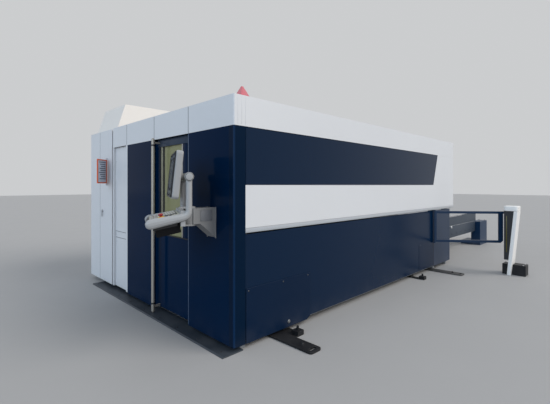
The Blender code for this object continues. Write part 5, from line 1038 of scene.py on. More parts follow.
@dataclass
class CabinSide(SubAssembly):
    """The long side with its window, band, lower panels and the screws on them."""

    seal_width: float = 0.010
    cover_screw_x: Tuple[float, ...] = (0.030, 0.507, 0.905)
    cover_screw_drop: float = 0.026
    lock_x: float = 0.592
    lock_rise: float = 0.058
    end_screw_z: Tuple[float, ...] = (0.20, 0.45, 0.70, 0.97)
    rear_cover_length: float = 0.643
    rear_cover_top: float = 0.549
    rear_cover_proud: float = 0.0018
    cover_screw_radius: float = 0.0075
    corner_radius: float = 0.014

    def build(self) -> None:
        """Finish the side's solids and add its pieces."""
        self.dress(WHITE_COAT, "side_fascia", "side_upper_panel", "side_band")
        self.dress(WINDOW_BLUE, "side_window")
        self.dress(SIDE_BLUE, "side_lower_panel")
        self.dress(COVER_BLUE, "side_access_cover")
        self.dress(END_BLUE, "side_end_panel")
        self.dress(POST_BLUE, "corner_post")
        self.window_seal()
        self.band_lip()
        self.cover_hardware()
        self.rear_cover()
        self.corner_edge()
        self.end_panel_screws()

    def window_seal(self) -> None:
        """Thin dark seal in the joint around the long pane, with its slanted end."""
        lo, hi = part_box("side_window")
        y = lo.y - self.seal_width * 0.10
        left, base, head = lo.x + 0.004, lo.z + 0.003, hi.z - 0.003
        corners = ((left, base), (low("side_upper_panel").x - 0.004, base), (hi.x - 0.004, head),
                   (left, head))
        self.seal("window_seal", [(x, y, z) for x, z in corners], (0.004, self.seal_width * 0.6), POST_BLUE,
                  "mid_blue_paint", 0.004)

    def band_lip(self) -> None:
        """Grey strip along the bottom of the white band: painted shade on the band's lower return."""
        lo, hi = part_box("side_band")
        lip = ((lo.x + 0.001, lo.y + 0.0008, lo.z + 0.001), (hi.x - 0.001, lo.y + 0.0055, lo.z + 0.040))
        self.blocks("band_lip_strip", [lip], 0.002, LIP_SHADE_GREY, "white_paint")

    def cover_hardware(self) -> None:
        """Screws along the access cover's top and its round lock near the floor."""
        lo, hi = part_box("side_access_cover")
        row = [(lo.x + x, lo.y, hi.z - self.cover_screw_drop) for x in self.cover_screw_x]
        self.screws("access_cover_screws", row, Facing.TO_SIDE, "bright_steel", self.cover_screw_radius,
                    BAR_STEEL)
        lock = gathered([turned([(0.020, 0.0), (0.020, 0.004), (0.017, 0.007), (0.009, 0.008)]),
                         eased_block((-0.013, -0.0025, 0.007), (0.013, 0.0025, 0.012), 0.001)])
        place = Facing.TO_SIDE.at(lo.x + self.lock_x, lo.y, lo.z + self.lock_rise)
        self.solid("access_cover_lock", moved(lock, place), DULL_ZINC, "bright_steel")

    def rear_cover(self) -> None:
        """Second access cover, at the end of the lower panel, with its two screws."""
        lo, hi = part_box("side_lower_panel")
        start, face = hi.x - self.rear_cover_length, lo.y - self.rear_cover_proud
        plate = ((start, face, lo.z + 0.006), (hi.x - 0.004, lo.y - 0.0003, self.rear_cover_top))
        self.blocks("rear_access_cover", [plate], 0.0006, COVER_BLUE, "deep_blue_paint", segments=1)
        row = [(x, face, self.rear_cover_top - 0.028) for x in (start + 0.035, hi.x - 0.040)]
        self.screws("rear_cover_screws", row, Facing.TO_SIDE, "bright_steel", self.cover_screw_radius,
                    BAR_STEEL)

    def corner_edge(self) -> None:
        """Lighter blue strip that follows the cabin's corner post upwards: a painted highlight on the post's
        rounded edge.
        """
        lo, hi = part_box("corner_post")
        turns = [math.radians(angle) for angle in range(0, 91, 15)]
        ways = [(self.corner_radius + 0.0006, angle) for angle in turns]
        ways += [(self.corner_radius - 0.0004, angle) for angle in reversed(turns)]
        outline = [(self.corner_radius - reach * math.cos(angle),
                    self.corner_radius - reach * math.sin(angle)) for reach, angle in ways]
        form = moved(prism(outline, lo.z + 0.004, hi.z - 0.004), shift(lo.x, lo.y))
        self.solid("corner_edge_strip", form, EDGE_HIGHLIGHT_BLUE, "mid_blue_paint")

    def end_panel_screws(self) -> None:
        """Screws down the groove of the end panel."""
        lo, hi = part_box("side_end_panel")
        column = [(hi.x - 0.045, lo.y, z) for z in self.end_screw_z]
        self.screws("end_panel_screws", column, Facing.TO_SIDE, "bright_steel", 0.007, BLACKED)


@dataclass
class CabinFront(SubAssembly):
    """The door face: white fascia, dark fixed panels, the white service recess and the threshold."""

    bead: float = 0.012
    recess_depth: float = 0.030
    recess_side: float = 0.050
    recess_far_side: float = 0.037
    hatch_screw_inset: float = 0.030
    hatch_seam: float = 0.005
    hatch_seam_z: Tuple[float, ...] = (0.785, 0.875)
    hatch_screw_z: Tuple[float, ...] = (0.72, 0.825, 1.90)
    joint_width: float = 0.0075
    middle_joint_y: float = 0.290
    left_joint_inset: float = 0.025
    rib_pitch: float = 0.0465
    bolts: int = 9

    def build(self) -> None:
        """Finish the front's solids and add its pieces."""
        self.dress(WHITE_COAT, "front_fascia", "service_panel")
        self.dress(DEEP_BLUE, "front_panel_right", "front_panel_left", "door_rail")
        self.dress(TREAD, "threshold_plate")
        self.corner_cover_ribs()
        self.fascia_joints()
        self.panel_edge_highlight()
        self.hatch_hardware()
        self.threshold_bolts()

    def corner_cover_ribs(self) -> None:
        """Fine upright ribs pressed into the fascia's corner cover."""
        lo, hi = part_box("front_fascia")
        reach = (hi.z - lo.z) / 2 - 0.012
        rib = HARDWARE.pattern("corner_rib", lambda: eased_block(
            (-0.0018, -reach, -0.001), (0.0018, reach, 0.0012), 0.0009))
        self.lattice("corner_cover_ribs", rib, (3, 1), (self.rib_pitch, 0.1),
                     (lo.x + 0.046, lo.y, (lo.z + hi.z) / 2), Facing.TO_SIDE.value, WHITE_COAT,
                     "white_paint")

    def fascia_joints(self) -> None:
        """Dark sealing strips in the three upright joints of the fascia."""
        lo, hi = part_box("front_fascia")
        places = (high("front_panel_right").y, self.middle_joint_y,
                  high("front_panel_left").y + self.left_joint_inset)
        half = self.joint_width / 2
        strips = [((lo.x - 0.0005, y - half, lo.z + 0.003), (lo.x + 0.0015, y + half, hi.z - 0.003))
                  for y in places]
        self.blocks("fascia_joint_strips", strips, 0.0002, GASKET, "black_plastic", segments=1)

    def panel_edge_highlight(self) -> None:
        """Light strip beside the door opening: a painted highlight on the folded sheet's bend."""
        lo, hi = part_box("front_panel_right")
        edge = ((lo.x - 0.0016, hi.y - self.bead, lo.z + 0.01), (lo.x + 0.010, hi.y - 0.0005, hi.z - 0.01))
        self.blocks("door_opening_edge", [edge], 0.0012, RIM_HIGHLIGHT_BLUE, "mid_blue_paint")

    def hatch_hardware(self) -> None:
        """Quarter-turn screws at the corners of the service recess's two seams, and the seams."""
        lo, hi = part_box("service_panel")
        x, near, far = lo.x + self.recess_depth, lo.y + self.recess_side, hi.y - self.recess_far_side
        points = [(x, y, z) for z in self.hatch_screw_z
                  for y in (near + self.hatch_screw_inset, far - self.hatch_screw_inset)]
        self.screws("service_hatch_screws", points, Facing.TO_DOOR, "bright_steel", 0.007, ZINC)
        seams = [((x - 0.0006, near, z - self.hatch_seam), (x + 0.002, far, z)) for z in self.hatch_seam_z]
        self.blocks("service_hatch_seams", seams, 0.0002, GASKET, "black_plastic", segments=1)

    def threshold_bolts(self) -> None:
        """Countersunk bolts along the threshold plate."""
        lo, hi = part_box("threshold_plate")
        pitch = (hi.y - lo.y - 0.2) / (self.bolts - 1)
        self.lattice("threshold_bolts", HARDWARE.screw(0.009), (1, self.bolts), (0.1, pitch),
                     (lo.x + 0.060, lo.y + 0.1, hi.z - 0.0005), Facing.UP.value, BLACKED, "black_steel",
                     math.pi)


@dataclass
class AccessDoor(SubAssembly):
    """The sliding leaf: seal and beads around its pane, and the handle bar's grip, caps and rings."""

    body: str = "front_door"
    seal_section: Tuple[float, float] = (0.012, 0.010)
    bead_width: float = 0.044
    shade_width: float = 0.034
    stile_width: float = 0.112
    closing_bead: float = 0.022
    head_drop: float = 0.090
    grip_wall: float = 0.0055
    grip_end: float = 0.012
    screw_rows: int = 5

    def build(self) -> None:
        """Finish the leaf's solids and add its pieces."""
        self.dress(DEEP_BLUE, "door_leaf")
        self.dress(LASER_PANE, "door_window")
        self.dress(WARM_ANODISED, "door_handle_bar")
        self.pane_seal()
        self.pane_strips()
        self.head_strip()
        self.bar_grip()
        self.bar_caps()
        self.leaf_screws()

    def pane_seal(self) -> None:
        """Rubber seal around the pane on the leaf's face."""
        lo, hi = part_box("door_window")
        x, inset = low("door_leaf").x, self.seal_section[0] / 2
        corners = rectangle(lo.y - inset, lo.z - inset, hi.y + inset, hi.z + inset)
        self.seal("pane_seal", [(x, y, z) for y, z in corners],
                  (self.seal_section[1] * 0.5, self.seal_section[0]), GASKET, "black_plastic", 0.012)

    def pane_strips(self) -> None:
        """Upright strips on the pane: two beads, a dark strip of painted shadow beside the outer one, and
        the stile.
        """
        lo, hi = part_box("door_window")
        inner, outer = lo.y + self.stile_width, hi.y - 0.001 - self.bead_width
        metal, dark, blue = "anodised_bar", "black_plastic", "deep_blue_paint"
        # The dark strip beside the outer bead, shade_width wide, is painted shadow.
        strips = (("pane_bead_outer", 0.0115, outer, outer + self.bead_width, 0.002, 0.003, PANE_BEAD,
                   metal, 2), ("pane_bead_closing", 0.0155, inner, inner + self.closing_bead, 0.002, 0.003,
                               WARM_ANODISED, metal, 2), ("pane_gap_strip", 0.0035,
                                                          outer - self.shade_width, outer, 0.002, 0.0006,
                                                          GASKET, dark, 1),
                  ("pane_stile", 0.0140, lo.y + 0.0005, inner, 0.001, 0.0015, DEEP_BLUE, blue, 2))
        for name, proud, near, far, end, ease, finish, slot, segments in strips:
            box = ((lo.x - proud, near, lo.z + end), (lo.x - 0.0005, far, hi.z - end))
            self.blocks(name, [box], ease, finish, slot, segments=segments)

    def head_strip(self) -> None:
        """Lighter blue strip on the leaf's head, under the fascia: a painted reflection that lifts the
        fascia's shadow on the leaf.
        """
        lo = low("door_leaf")
        edge = low("front_fascia").z - 0.002
        strip = ((lo.x - 0.0045, lo.y + 0.002, edge - self.head_drop),
                 (lo.x + 0.0005, high("door_window").y + 0.060, edge))
        self.blocks("leaf_head_strip", [strip], 0.0012, HEAD_REFLECTION_BLUE, "deep_blue_paint")

    def bar_grip(self) -> None:
        """Wider grip tube over the handle bar."""
        lo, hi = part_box("door_handle_bar")
        radius = (hi.y - lo.y) / 2
        outer, inner, ease = radius + self.grip_wall, radius * 0.97, 0.0015
        base, head = lo.z + self.grip_end, hi.z - self.grip_end
        grip = turned([(inner, base), (outer - ease, base), (outer, base + ease), (outer, head - ease),
                       (outer - ease, head), (inner, head)], 36)
        self.solid("handle_bar_grip", moved(grip, shift(lo.x + radius, (lo.y + hi.y) / 2)), WARM_ANODISED,
                   "anodised_bar")

    def bar_caps(self) -> None:
        """Black end caps and clamp rings of the handle bar."""
        lo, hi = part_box("door_handle_bar")
        radius = (hi.y - lo.y) / 2
        axis = shift(lo.x + radius, (lo.y + hi.y) / 2)
        reach = radius + self.grip_wall
        cap = [(radius * 0.99, 0.0), (radius * 0.99, 0.004), (radius * 0.8, 0.007), (radius * 0.3, 0.008)]
        ring = [(reach - 0.0005, -0.011), (reach + 0.001, -0.008), (reach + 0.001, 0.008),
                (reach - 0.0005, 0.011)]
        forms = [moved(turned(cap), axis @ shift(z=hi.z - 0.0075)),
                 moved(turned(cap), axis @ shift(z=lo.z + 0.0075) @ turn(180.0, "X"))]
        forms += [moved(turned(ring), axis @ shift(z=z)) for z in (lo.z + 0.105, hi.z - 0.085)]
        self.solid("handle_bar_caps", gathered(forms), BLACK_GRAIN, "black_plastic")

    def leaf_screws(self) -> None:
        """Screws that hold the pane's frame to the leaf."""
        lo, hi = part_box("door_window")
        points = [(low("door_leaf").x, y, z) for z in spaced(lo.z + 0.05, hi.z - 0.05, self.screw_rows)
                  for y in (lo.y - 0.035, hi.y + 0.035)]
        self.screws("pane_frame_screws", points, Facing.TO_DOOR, "black_steel", 0.006, BLACKED)


@dataclass
class ServiceBay(SubAssembly):
    """The service bay: shell, doors, lever, document sleeve and what shows when the doors stand open."""

    sheet_lines: int = 9
    line_pitch: float = 0.031
    line_height: float = 0.013
    sheet_border: float = 0.017
    sheet_width: float = 0.240
    sleeve_deg: float = 130.0
    terminal_rows: int = 4
    slot_rows: int = 9
    end_wall_start: float = 1.70
    handle_z: Tuple[float, float] = (0.42, 0.68)

    def build(self) -> None:
        """Finish the bay's solids and add its pieces."""
        self.dress(WHITE_COAT, "service_bay", "cabinet_door_right", "cabinet_door_left")
        self.dress(GASKET, "joint_strip")
        self.dress(ZINC, "mounting_plate")
        self.dress(SHELL_GREY, "laser_source")
        self.dress(LEVER_GREY, "cabinet_lever")
        self.dress(SLEEVE_ORANGE, "document_sleeve")
        self.door_seals()
        self.meeting_edge()
        self.lever_plate()
        self.document()
        self.back_slots()
        self.end_wall()
        self.plate_terminals()
        self.source_front()

    def door_seals(self) -> None:
        """Foam seals on the inner edge of both doors."""
        inset = 0.022
        for node in ("cabinet_door_right", "cabinet_door_left"):
            lo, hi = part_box(node)
            corners = rectangle(lo.y + inset, lo.z + inset, hi.y - inset, hi.z - inset)
            self.seal(node + "_seal", [(hi.x - 0.006, y, z) for y, z in corners], (0.010, 0.012), GASKET,
                      "black_plastic", 0.02, body=node)

    def meeting_edge(self) -> None:
        """Dark sealing lip on the right leaf, where the two leaves meet."""
        lo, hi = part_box("cabinet_door_left")
        lip = ((lo.x - 0.0004, lo.y - 0.0085, lo.z + 0.004), (lo.x + 0.0015, lo.y - 0.0032, hi.z - 0.004))
        self.blocks("door_meeting_lip", [lip], 0.0002, GASKET, "black_plastic", "cabinet_door_right", 1)

    def lever_plate(self) -> None:
        """Escutcheon behind the quarter-turn lever."""
        lo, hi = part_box("cabinet_lever")
        ring = turned([(0.026, 0.0), (0.026, 0.003), (0.0235, 0.0045), (0.0192, 0.0045)], 28)
        place = Facing.TO_DOOR.at(low("cabinet_door_left").x, (lo.y + hi.y) / 2, hi.z - 0.018)
        self.solid("lever_escutcheon", moved(ring, place), BRIGHT, "bright_steel", "cabinet_door_right")

    def document(self) -> None:
        """Sheet in the swinging sleeve, with plain printed lines."""
        hinge, (lo, hi) = pivot("document_sleeve_hinge"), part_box("document_sleeve")
        axes = shift(hinge[0], hinge[1]) @ turn(self.sleeve_deg, "Z")
        border, edge, half = self.sheet_border, self.sheet_width - self.sheet_border, self.line_height / 2
        sheet = ((-0.0012, border - 0.007, lo.z + border), (0.0006, edge, hi.z - border))
        self.blocks("document_sheet", [sheet], 0.0004, PAPER, "white_paint", "document_sleeve", 1, axes)
        lines = []
        for row in range(self.sheet_lines):
            z = hi.z - border - 0.026 - self.line_pitch * row
            start = border + (0.012 if row % 4 else 0.004)
            reach = edge - 0.030 - 0.055 * ((row * 7) % 5) / 5
            lines.append(((-0.0018, start, z - half), (-0.0011, reach, z + half)))
        self.blocks("document_lines", lines, 0.0002, INK, "black_plastic", "document_sleeve", 1, axes)

    def back_slots(self) -> None:
        """Flush black strips of painted shade where the vent slots open in the bay's back, and the sheet
        joint.
        """
        lo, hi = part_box("service_bay")
        # Flush black strips where the vent slots are: painted shade in the openings.
        slots = [((x - 0.20, hi.y - 0.003, 1.62 + 0.045 * row), (x + 0.20, hi.y, 1.632 + 0.045 * row))
                 for x in (lo.x + 0.65, lo.x + 1.90) for row in range(self.slot_rows)]
        seam = (lo.x + hi.x) / 2
        slots.append(((seam - 0.003, hi.y - 0.003, lo.z + 0.03), (seam + 0.003, hi.y, hi.z - 0.03)))
        self.blocks("bay_back_slots", slots, 0.0001, GASKET, "black_plastic", segments=1)

    def end_wall(self) -> None:
        """Pressed louvres and four capped hose ports on the bay's end wall."""
        lo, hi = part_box("service_bay")
        for index, z in enumerate((0.40, 1.62)):
            self.lattice(f"bay_end_louvres_{index + 1}", HARDWARE.louvre(0.46, 0.030, 0.012), (1, 10),
                         (0.5, 0.052), (hi.x, (self.end_wall_start + hi.y) / 2, z),
                         Facing.LOUVRE_TO_CHANGER.value, WHITE_COAT, "white_paint")
        port = HARDWARE.pattern("hose_port", lambda: turned(
            [(0.034, 0.0), (0.034, 0.006), (0.022, 0.008), (0.022, 0.030), (0.026, 0.031), (0.026, 0.046),
             (0.022, 0.050)]))
        points = [(hi.x, lo.y + 0.20 + 0.11 * step, 0.20) for step in range(4)]
        self.scatter("coolant_ports", port, points, Facing.TO_CHANGER, DULL_ZINC, "bright_steel", 0.5, 8)

    def plate_terminals(self) -> None:
        """Rows of terminals on the mounting plate's devices."""
        lo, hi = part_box("mounting_plate")
        heights = spaced(lo.z, hi.z, self.terminal_rows + 2)[1:-1]
        for row, z in enumerate(heights):
            depth, finish = (0.0, KEY_GREY) if row % 2 else (0.048, KEY_DARK)
            self.lattice(f"terminal_row_{row + 1}", HARDWARE.keycap(0.016, 0.060, 0.030), (1, 22 - 5 * row),
                         (0.1, 0.021), (lo.x + depth + 0.001, lo.y + 0.10, z), Facing.TO_DOOR.value, finish,
                         "key_grey")

    def source_front(self) -> None:
        """Grab handles of the laser source."""
        lo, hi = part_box("laser_source")
        root, out = lo.x + 0.003, lo.x - 0.045
        base, head = lo.z + self.handle_z[0], lo.z + self.handle_z[1]
        for side, y in (("right", lo.y + 0.040), ("left", hi.y - 0.040)):
            points = [(x, y, z) for x, z in ((root, base), (out, base), (out, head), (root, head))]
            self.seal(f"source_handle_{side}", points, (0.012, 0.012), BRIGHT, "bright_steel", 0.018,
                      closed=False)


@dataclass
class RoofAndBack(SubAssembly):
    """Roof panel, hood, beacon, back wall, end wall, rear housing and shutter."""

    rivet_pitch: float = 0.11
    joint_shares: Tuple[float, ...] = (0.335, 0.667)
    joint_screws: int = 14
    lens_steps: Tuple[Tuple[float, float], ...] = ((0.078, 0.0135), (0.0745, 0.018), (0.009, 0.1646))
    foot_half: float = 0.088
    bays: int = 3

    def build(self) -> None:
        """Finish these solids and add their pieces."""
        self.dress(HOOD_LIT_WHITE, "roof_hood")
        self.dress(ROOF_GREY, "roof_panel")
        self.dress(LENS_RED, "signal_beacon")
        self.dress(WHITE_COAT, "back_wall", "rear_housing")
        self.dress(SLATE, "end_wall")
        self.dress(ZINC, "pallet_shutter")
        self.dress(PRIMER, "cabin_frame")
        self.beacon()
        self.roof_joints()
        self.lifting_eyes()
        self.hood_rivets()
        self.back_wall_sheets()
        self.back_wall_louvres()
        self.housing_screws()

    def beacon(self) -> None:
        """Pyramid lens of the signal lamp on its black foot, in place of the plain solid."""
        lo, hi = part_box("signal_beacon")
        x, y, half = (lo.x + hi.x) / 2, (lo.y + hi.y) / 2, self.foot_half
        rings = [[(u, v, z) for u, v in rectangle(x - reach, y - reach, x + reach, y + reach)]
                 for reach, z in self.lens_steps]
        lens = moved(softened(skinned(rings), 0.003), shift(z=lo.z))
        item = self.solid("beacon_lens", lens, LENS_RED, "red_lens")
        foot = ((x - half, y - half, lo.z - 0.0002), (x + half, y + half, lo.z + 0.0145))
        self.blocks("beacon_foot", [foot], 0.004, BLACK_GRAIN, "black_plastic")
        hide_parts("signal_beacon")

    def roof_joints(self) -> None:
        """Cap strips over the roof's sheet joints, with screws along both edges."""
        lo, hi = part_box("roof_panel")
        caps, points = [], []
        for share in self.joint_shares:
            x, head = lo.x + (hi.x - lo.x) * share, hi.z + 0.007
            caps.append(((x - 0.035, lo.y + 0.02, hi.z - 0.0002), (x + 0.035, hi.y - 0.02, head)))
            points += [(x + side, y, head) for y in spaced(lo.y + 0.12, hi.y - 0.12, self.joint_screws)
                       for side in (-0.022, 0.022)]
        self.blocks("roof_joint_caps", caps, 0.003, ROOF_GREY, "white_paint")
        self.screws("roof_joint_screws", points, Facing.UP, "bright_steel", 0.006, DULL_ZINC)

    def lifting_eyes(self) -> None:
        """Four lifting eyes on their pads."""
        lo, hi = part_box("roof_panel")
        points = [(x, y, hi.z) for x in (lo.x + 0.75, hi.x - 0.35) for y in (lo.y + 0.22, hi.y - 0.22)]
        eye = HARDWARE.pattern("eye", lambda: gathered([
            eased_block((-0.06, -0.06, 0.0), (0.06, 0.06, 0.0105), 0.003),
            turned([(0.030, 0.010), (0.030, 0.016), (0.016, 0.026)], 20),
            moved(ring_bar(0.024, 0.007), shift(z=0.052)),
        ]))
        self.scatter("lifting_eyes", eye, points, Facing.UP, DULL_ZINC, "bright_steel", 0.4, 6)

    def hood_rivets(self) -> None:
        """Rows of blind rivets along the hood's foot."""
        lo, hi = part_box("roof_hood")
        count = int((hi.x - lo.x - 0.1) / self.rivet_pitch)
        for side, y, facing in (("near", lo.y, Facing.TO_SIDE), ("far", hi.y, Facing.TO_BACK)):
            self.lattice(f"hood_rivets_{side}", HARDWARE.screw(0.005), (count, 1), (self.rivet_pitch, 0.1),
                         (lo.x + 0.08, y, lo.z + 0.018), facing.value, HOOD_LIT_WHITE, "white_paint", math.pi)

    def back_bays(self, *shares: float) -> List[float]:
        """Places along the back wall, by their shares of each of its bays in turn."""
        start, stop = high("service_bay").x, high("back_wall").x
        return [start + (stop - start) * (step + share) / self.bays for step in range(self.bays)
                for share in shares]

    def back_wall_sheets(self) -> None:
        """Sheet joints of the cabin's back wall, and two service hatches with locks."""
        lo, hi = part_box("back_wall")
        y = hi.y
        seams = [((x - 0.004, y - 0.001, lo.z + 0.02), (x + 0.004, y + 0.0012, hi.z - 0.02))
                 for x in self.back_bays(0.0)[1:]]
        self.blocks("back_wall_joints", seams, 0.0008, GASKET, "black_plastic", segments=1)
        hatches = self.back_bays(0.5)[::2]
        boxes = [((x - 0.36, y - 0.0002, 0.22), (x + 0.36, y + 0.006, 1.02)) for x in hatches]
        self.blocks("back_wall_hatches", boxes, 0.002, WHITE_COAT, "white_paint")
        locks = [(x + side, y + 0.006, z) for x in hatches for side in (-0.33, 0.33)
                 for z in (0.25, 0.62, 0.99)]
        self.screws("hatch_locks", locks, Facing.TO_BACK, "bright_steel", 0.012, DULL_ZINC)

    def back_wall_louvres(self) -> None:
        """Louvre banks and screws of the cabin's back wall."""
        hi = high("back_wall")
        for index, x in enumerate(self.back_bays(0.5)):
            self.lattice(f"back_wall_louvres_{index + 1}", HARDWARE.louvre(0.60, 0.034, 0.012), (1, 8),
                         (0.5, 0.056), (x, hi.y, 1.62), Facing.LOUVRE_TO_BACK.value, WHITE_COAT,
                         "white_paint")
        points = [(x, hi.y, z) for x in self.back_bays(0.06, 0.5, 0.94) for z in (1.20, hi.z - 0.05)]
        self.screws("back_wall_screws", points, Facing.TO_BACK, "white_paint", 0.008)

    def housing_screws(self) -> None:
        """Screws along the rear housing."""
        lo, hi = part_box("rear_housing")
        points = [(hi.x, y, z) for y in spaced(lo.y + 0.08, hi.y - 0.08, 8)
                  for z in (lo.z + 0.06, hi.z - 0.06)]
        self.screws("rear_housing_screws", points, Facing.TO_CHANGER, "bright_steel", 0.008)


@dataclass
class Console(SubAssembly):
    """The swivelling console with its keys, buttons, screen, joint discs and wall bracket."""

    body: str = "console"
    yaw_deg: float = -24.5
    tube_forward: float = 0.035
    tilt_z: float = 1.627
    lean_deg: float = 6.0
    half_span: float = 0.250
    cheek_radius: float = 0.0275
    knuckle_length: float = 0.066
    knuckle_radius: float = 0.039
    knuckle_face: float = 0.2865
    swivel_top: float = 1.3520
    deck_fall_deg: float = 11.0
    tray_start: float = 0.1043
    tray_top: float = 1.302
    tray_depth: float = 0.066
    keypad: Tuple[float, float, float, float] = (0.125, 0.252, -0.115, 0.190)
    key_field: Tuple[int, int] = (5, 13)
    pan: Tuple[float, float] = (0.128, 0.332)
    holder_shade_depth: float = 0.090
    pan_wall: float = 0.002
    pad_forward: Tuple[float, float] = (0.080, 0.113)
    pad_side: float = -0.168
    screen_front: float = -0.1333
    screen_box: Tuple[float, float, float, float] = (-0.252, -0.187, 0.252, 0.202)
    cover_span: Tuple[float, float] = (-0.177, -0.036)

    def __post_init__(self) -> None:
        """Work out the console's, the monitor's and the deck's own axes at rest."""
        foot = pivot("console_swivel")
        self.axes = shift(foot[0], foot[1]) @ turn(self.yaw_deg, "Z")
        self.screen_axes = self.axes @ shift(-self.tube_forward, 0.0, self.tilt_z) @ turn(self.lean_deg, "Y")
        self.deck_axes = self.axes @ shift(-self.tray_start, 0.0, self.tray_top) @ turn(-self.deck_fall_deg,
                                                                                        "Y")

    def build(self) -> None:
        """Finish the console's solids and add its pieces."""
        self.dress(SHELL_GREY, "console_frame")
        self.dress(SCREEN_SHELL, "console_monitor")
        self.dress(BRACKET_GREY, "console_bracket")
        self.dress(CREAM, "console_tray")
        self.dress(SCREEN_DARK, "console_screen")
        self.dress(SIGNAL_YELLOW, "stop_collar")
        self.dress(SIGNAL_RED, "emergency_stop")
        self.stop_button()
        self.keys()
        self.buttons()
        self.under_tray()
        self.knuckle_discs()
        self.screen_face()
        self.bracket_details()

    def on_deck(self, name: str, piece: Item, count: Tuple[int, int], pitch: Tuple[float, float],
                start: Point, finish: Finish, slot: str) -> None:
        """Field of pieces on the sloping deck, from a place in front of its start, to the side and above."""
        place = self.deck_axes @ Vector((-start[0], start[1], start[2]))
        self.lattice(name, piece, count, pitch, place, self.deck_axes.to_euler(), finish, slot)

    def stop_button(self) -> None:
        """Mushroom head of the emergency stop on its neck, in place of the plain button."""
        lo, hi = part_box("emergency_stop")
        head = turned([(0.0125, -0.0105), (0.0125, -0.002), (0.0150, 0.000), (0.0205, 0.0030),
                       (0.0215, 0.0075), (0.0205, 0.0125), (0.0160, 0.0170), (0.0080, 0.0190),
                       (0.0020, 0.0193)], 36)
        place = Matrix.Translation((lo + hi) / 2) @ self.deck_axes.to_3x3().to_4x4()
        item = self.solid("stop_mushroom", moved(head, place), SIGNAL_RED, "signal_red", "emergency_stop",
                          50.0)
        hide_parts("emergency_stop")

    def keys(self) -> None:
        """Keypad frame and its keys, in place of the plain key block."""
        start, stop = self.keypad[0] - self.tray_start, self.keypad[1] - self.tray_start
        near, far = self.keypad[2:]
        board = self.blocks("keypad_frame", [((-stop, near, 0.0005), (-start, far, 0.006))], 0.002, KEY_DARK,
                            "key_grey", axes=self.deck_axes)
        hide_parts("console_keys")
        pitch_u = (stop - start - 0.014) / self.key_field[0]
        pitch_v = (far - near - 0.016) / self.key_field[1]
        self.on_deck("keypad_keys", HARDWARE.keycap(pitch_u * 0.84, pitch_v * 0.84, 0.007), self.key_field,
                     (pitch_u, pitch_v), (stop - 0.007 - pitch_u / 2, near + 0.008 + pitch_v / 2, 0.005),
                     KEY_GREY, "key_grey")

    def buttons(self) -> None:
        """Round push buttons in front of the keypad, and two dark ones beside it."""
        bezel = [(0.0115, 0.0), (0.0115, 0.0025), (0.0095, 0.0040), (0.0085, 0.0040), (0.0080, 0.003)]
        cap = [(0.0076, 0.002), (0.0076, 0.0065), (0.0064, 0.0080)]
        pad = [(0.0105, 0.0), (0.0105, 0.004), (0.009, 0.006), (0.004, 0.0068)]
        for name, profile, finish, slot in (("deck_button_bezels", bezel, SHELL_GREY, "bright_steel"),
                                            ("deck_button_caps", cap, BUTTON_WARM, "key_grey")):
            piece = HARDWARE.pattern(name, lambda: turned(profile, 20))
            self.on_deck(name, piece, (2, 6), (0.030, 0.036), (0.228, -0.075, 0.0004), finish, slot)
        pads = [moved(turned(pad, 20), self.deck_axes @ shift(-forward, self.pad_side, 0.0004))
                for forward in self.pad_forward]
        self.solid("deck_dark_buttons", gathered(pads), KEY_DARK, "key_grey")

    def under_tray(self) -> None:
        """Black holder that hangs under the tray: an open box with rolled edges, drawn deep and very black
        so that it also paints the shade under the tray.
        """
        half = self.half_span - self.cheek_radius - 0.010
        back, front = -(self.pan[0] - self.tray_start), -(self.pan[1] - self.tray_start)
        top, wall = -self.tray_depth - 0.0005, self.pan_wall
        floor = top - self.holder_shade_depth
        boxes = [((front, near, floor), (back, near + wall, top)) for near in (-half - wall, half)]
        boxes += [((x, -half - wall, floor), (x + wall, half + wall, top)) for x in (back, front - wall)]
        boxes.append(((front - wall, -half - wall, floor - wall), (back + wall, half + wall, floor)))
        self.blocks("under_tray_holder", boxes, 0.0008, HOLDER_SHADE_BLACK, "black_plastic", None, 1,
                    self.deck_axes)

    def knuckle_discs(self) -> None:
        """End caps of the tilt hinge with their dark joint rings, and the swivel's cap."""
        discs, rings = [], []
        radius = self.knuckle_radius
        edge, rim = radius - 0.004, radius + 0.0010
        disc = [(radius - 0.008, -0.001), (radius - 0.008, 0.0022), (radius - 0.011, 0.0032),
                (0.010, 0.0036)]
        ring = [(radius - 0.0045, -0.001), (radius - 0.0045, 0.0014), (radius - 0.006, 0.0016)]
        collar = [(edge, -0.002), (rim, -0.0015), (rim, 0.0015), (edge, 0.002)]
        for side in (-1.0, 1.0):
            place = self.axes @ shift(-self.tube_forward, side * self.knuckle_face, self.tilt_z)
            place = place @ turn(-90.0 * side, "X")
            discs.append(moved(turned(disc, 40), place))
            rings.append(moved(turned(ring, 40), place))
            rings.append(moved(turned(collar, 40), place @ shift(z=-self.knuckle_length * 0.45)))
        self.solid("knuckle_caps", gathered(discs), SHELL_GREY, "console_shell")
        self.solid("knuckle_joint_rings", gathered(rings), GASKET, "black_plastic")
        cap = turned([(0.042, 0.0), (0.042, 0.002), (0.038, 0.005), (0.012, 0.006)], 36)
        self.solid("swivel_cap", moved(cap, self.axes @ shift(z=self.swivel_top)), SHELL_GREY,
                   "console_shell")

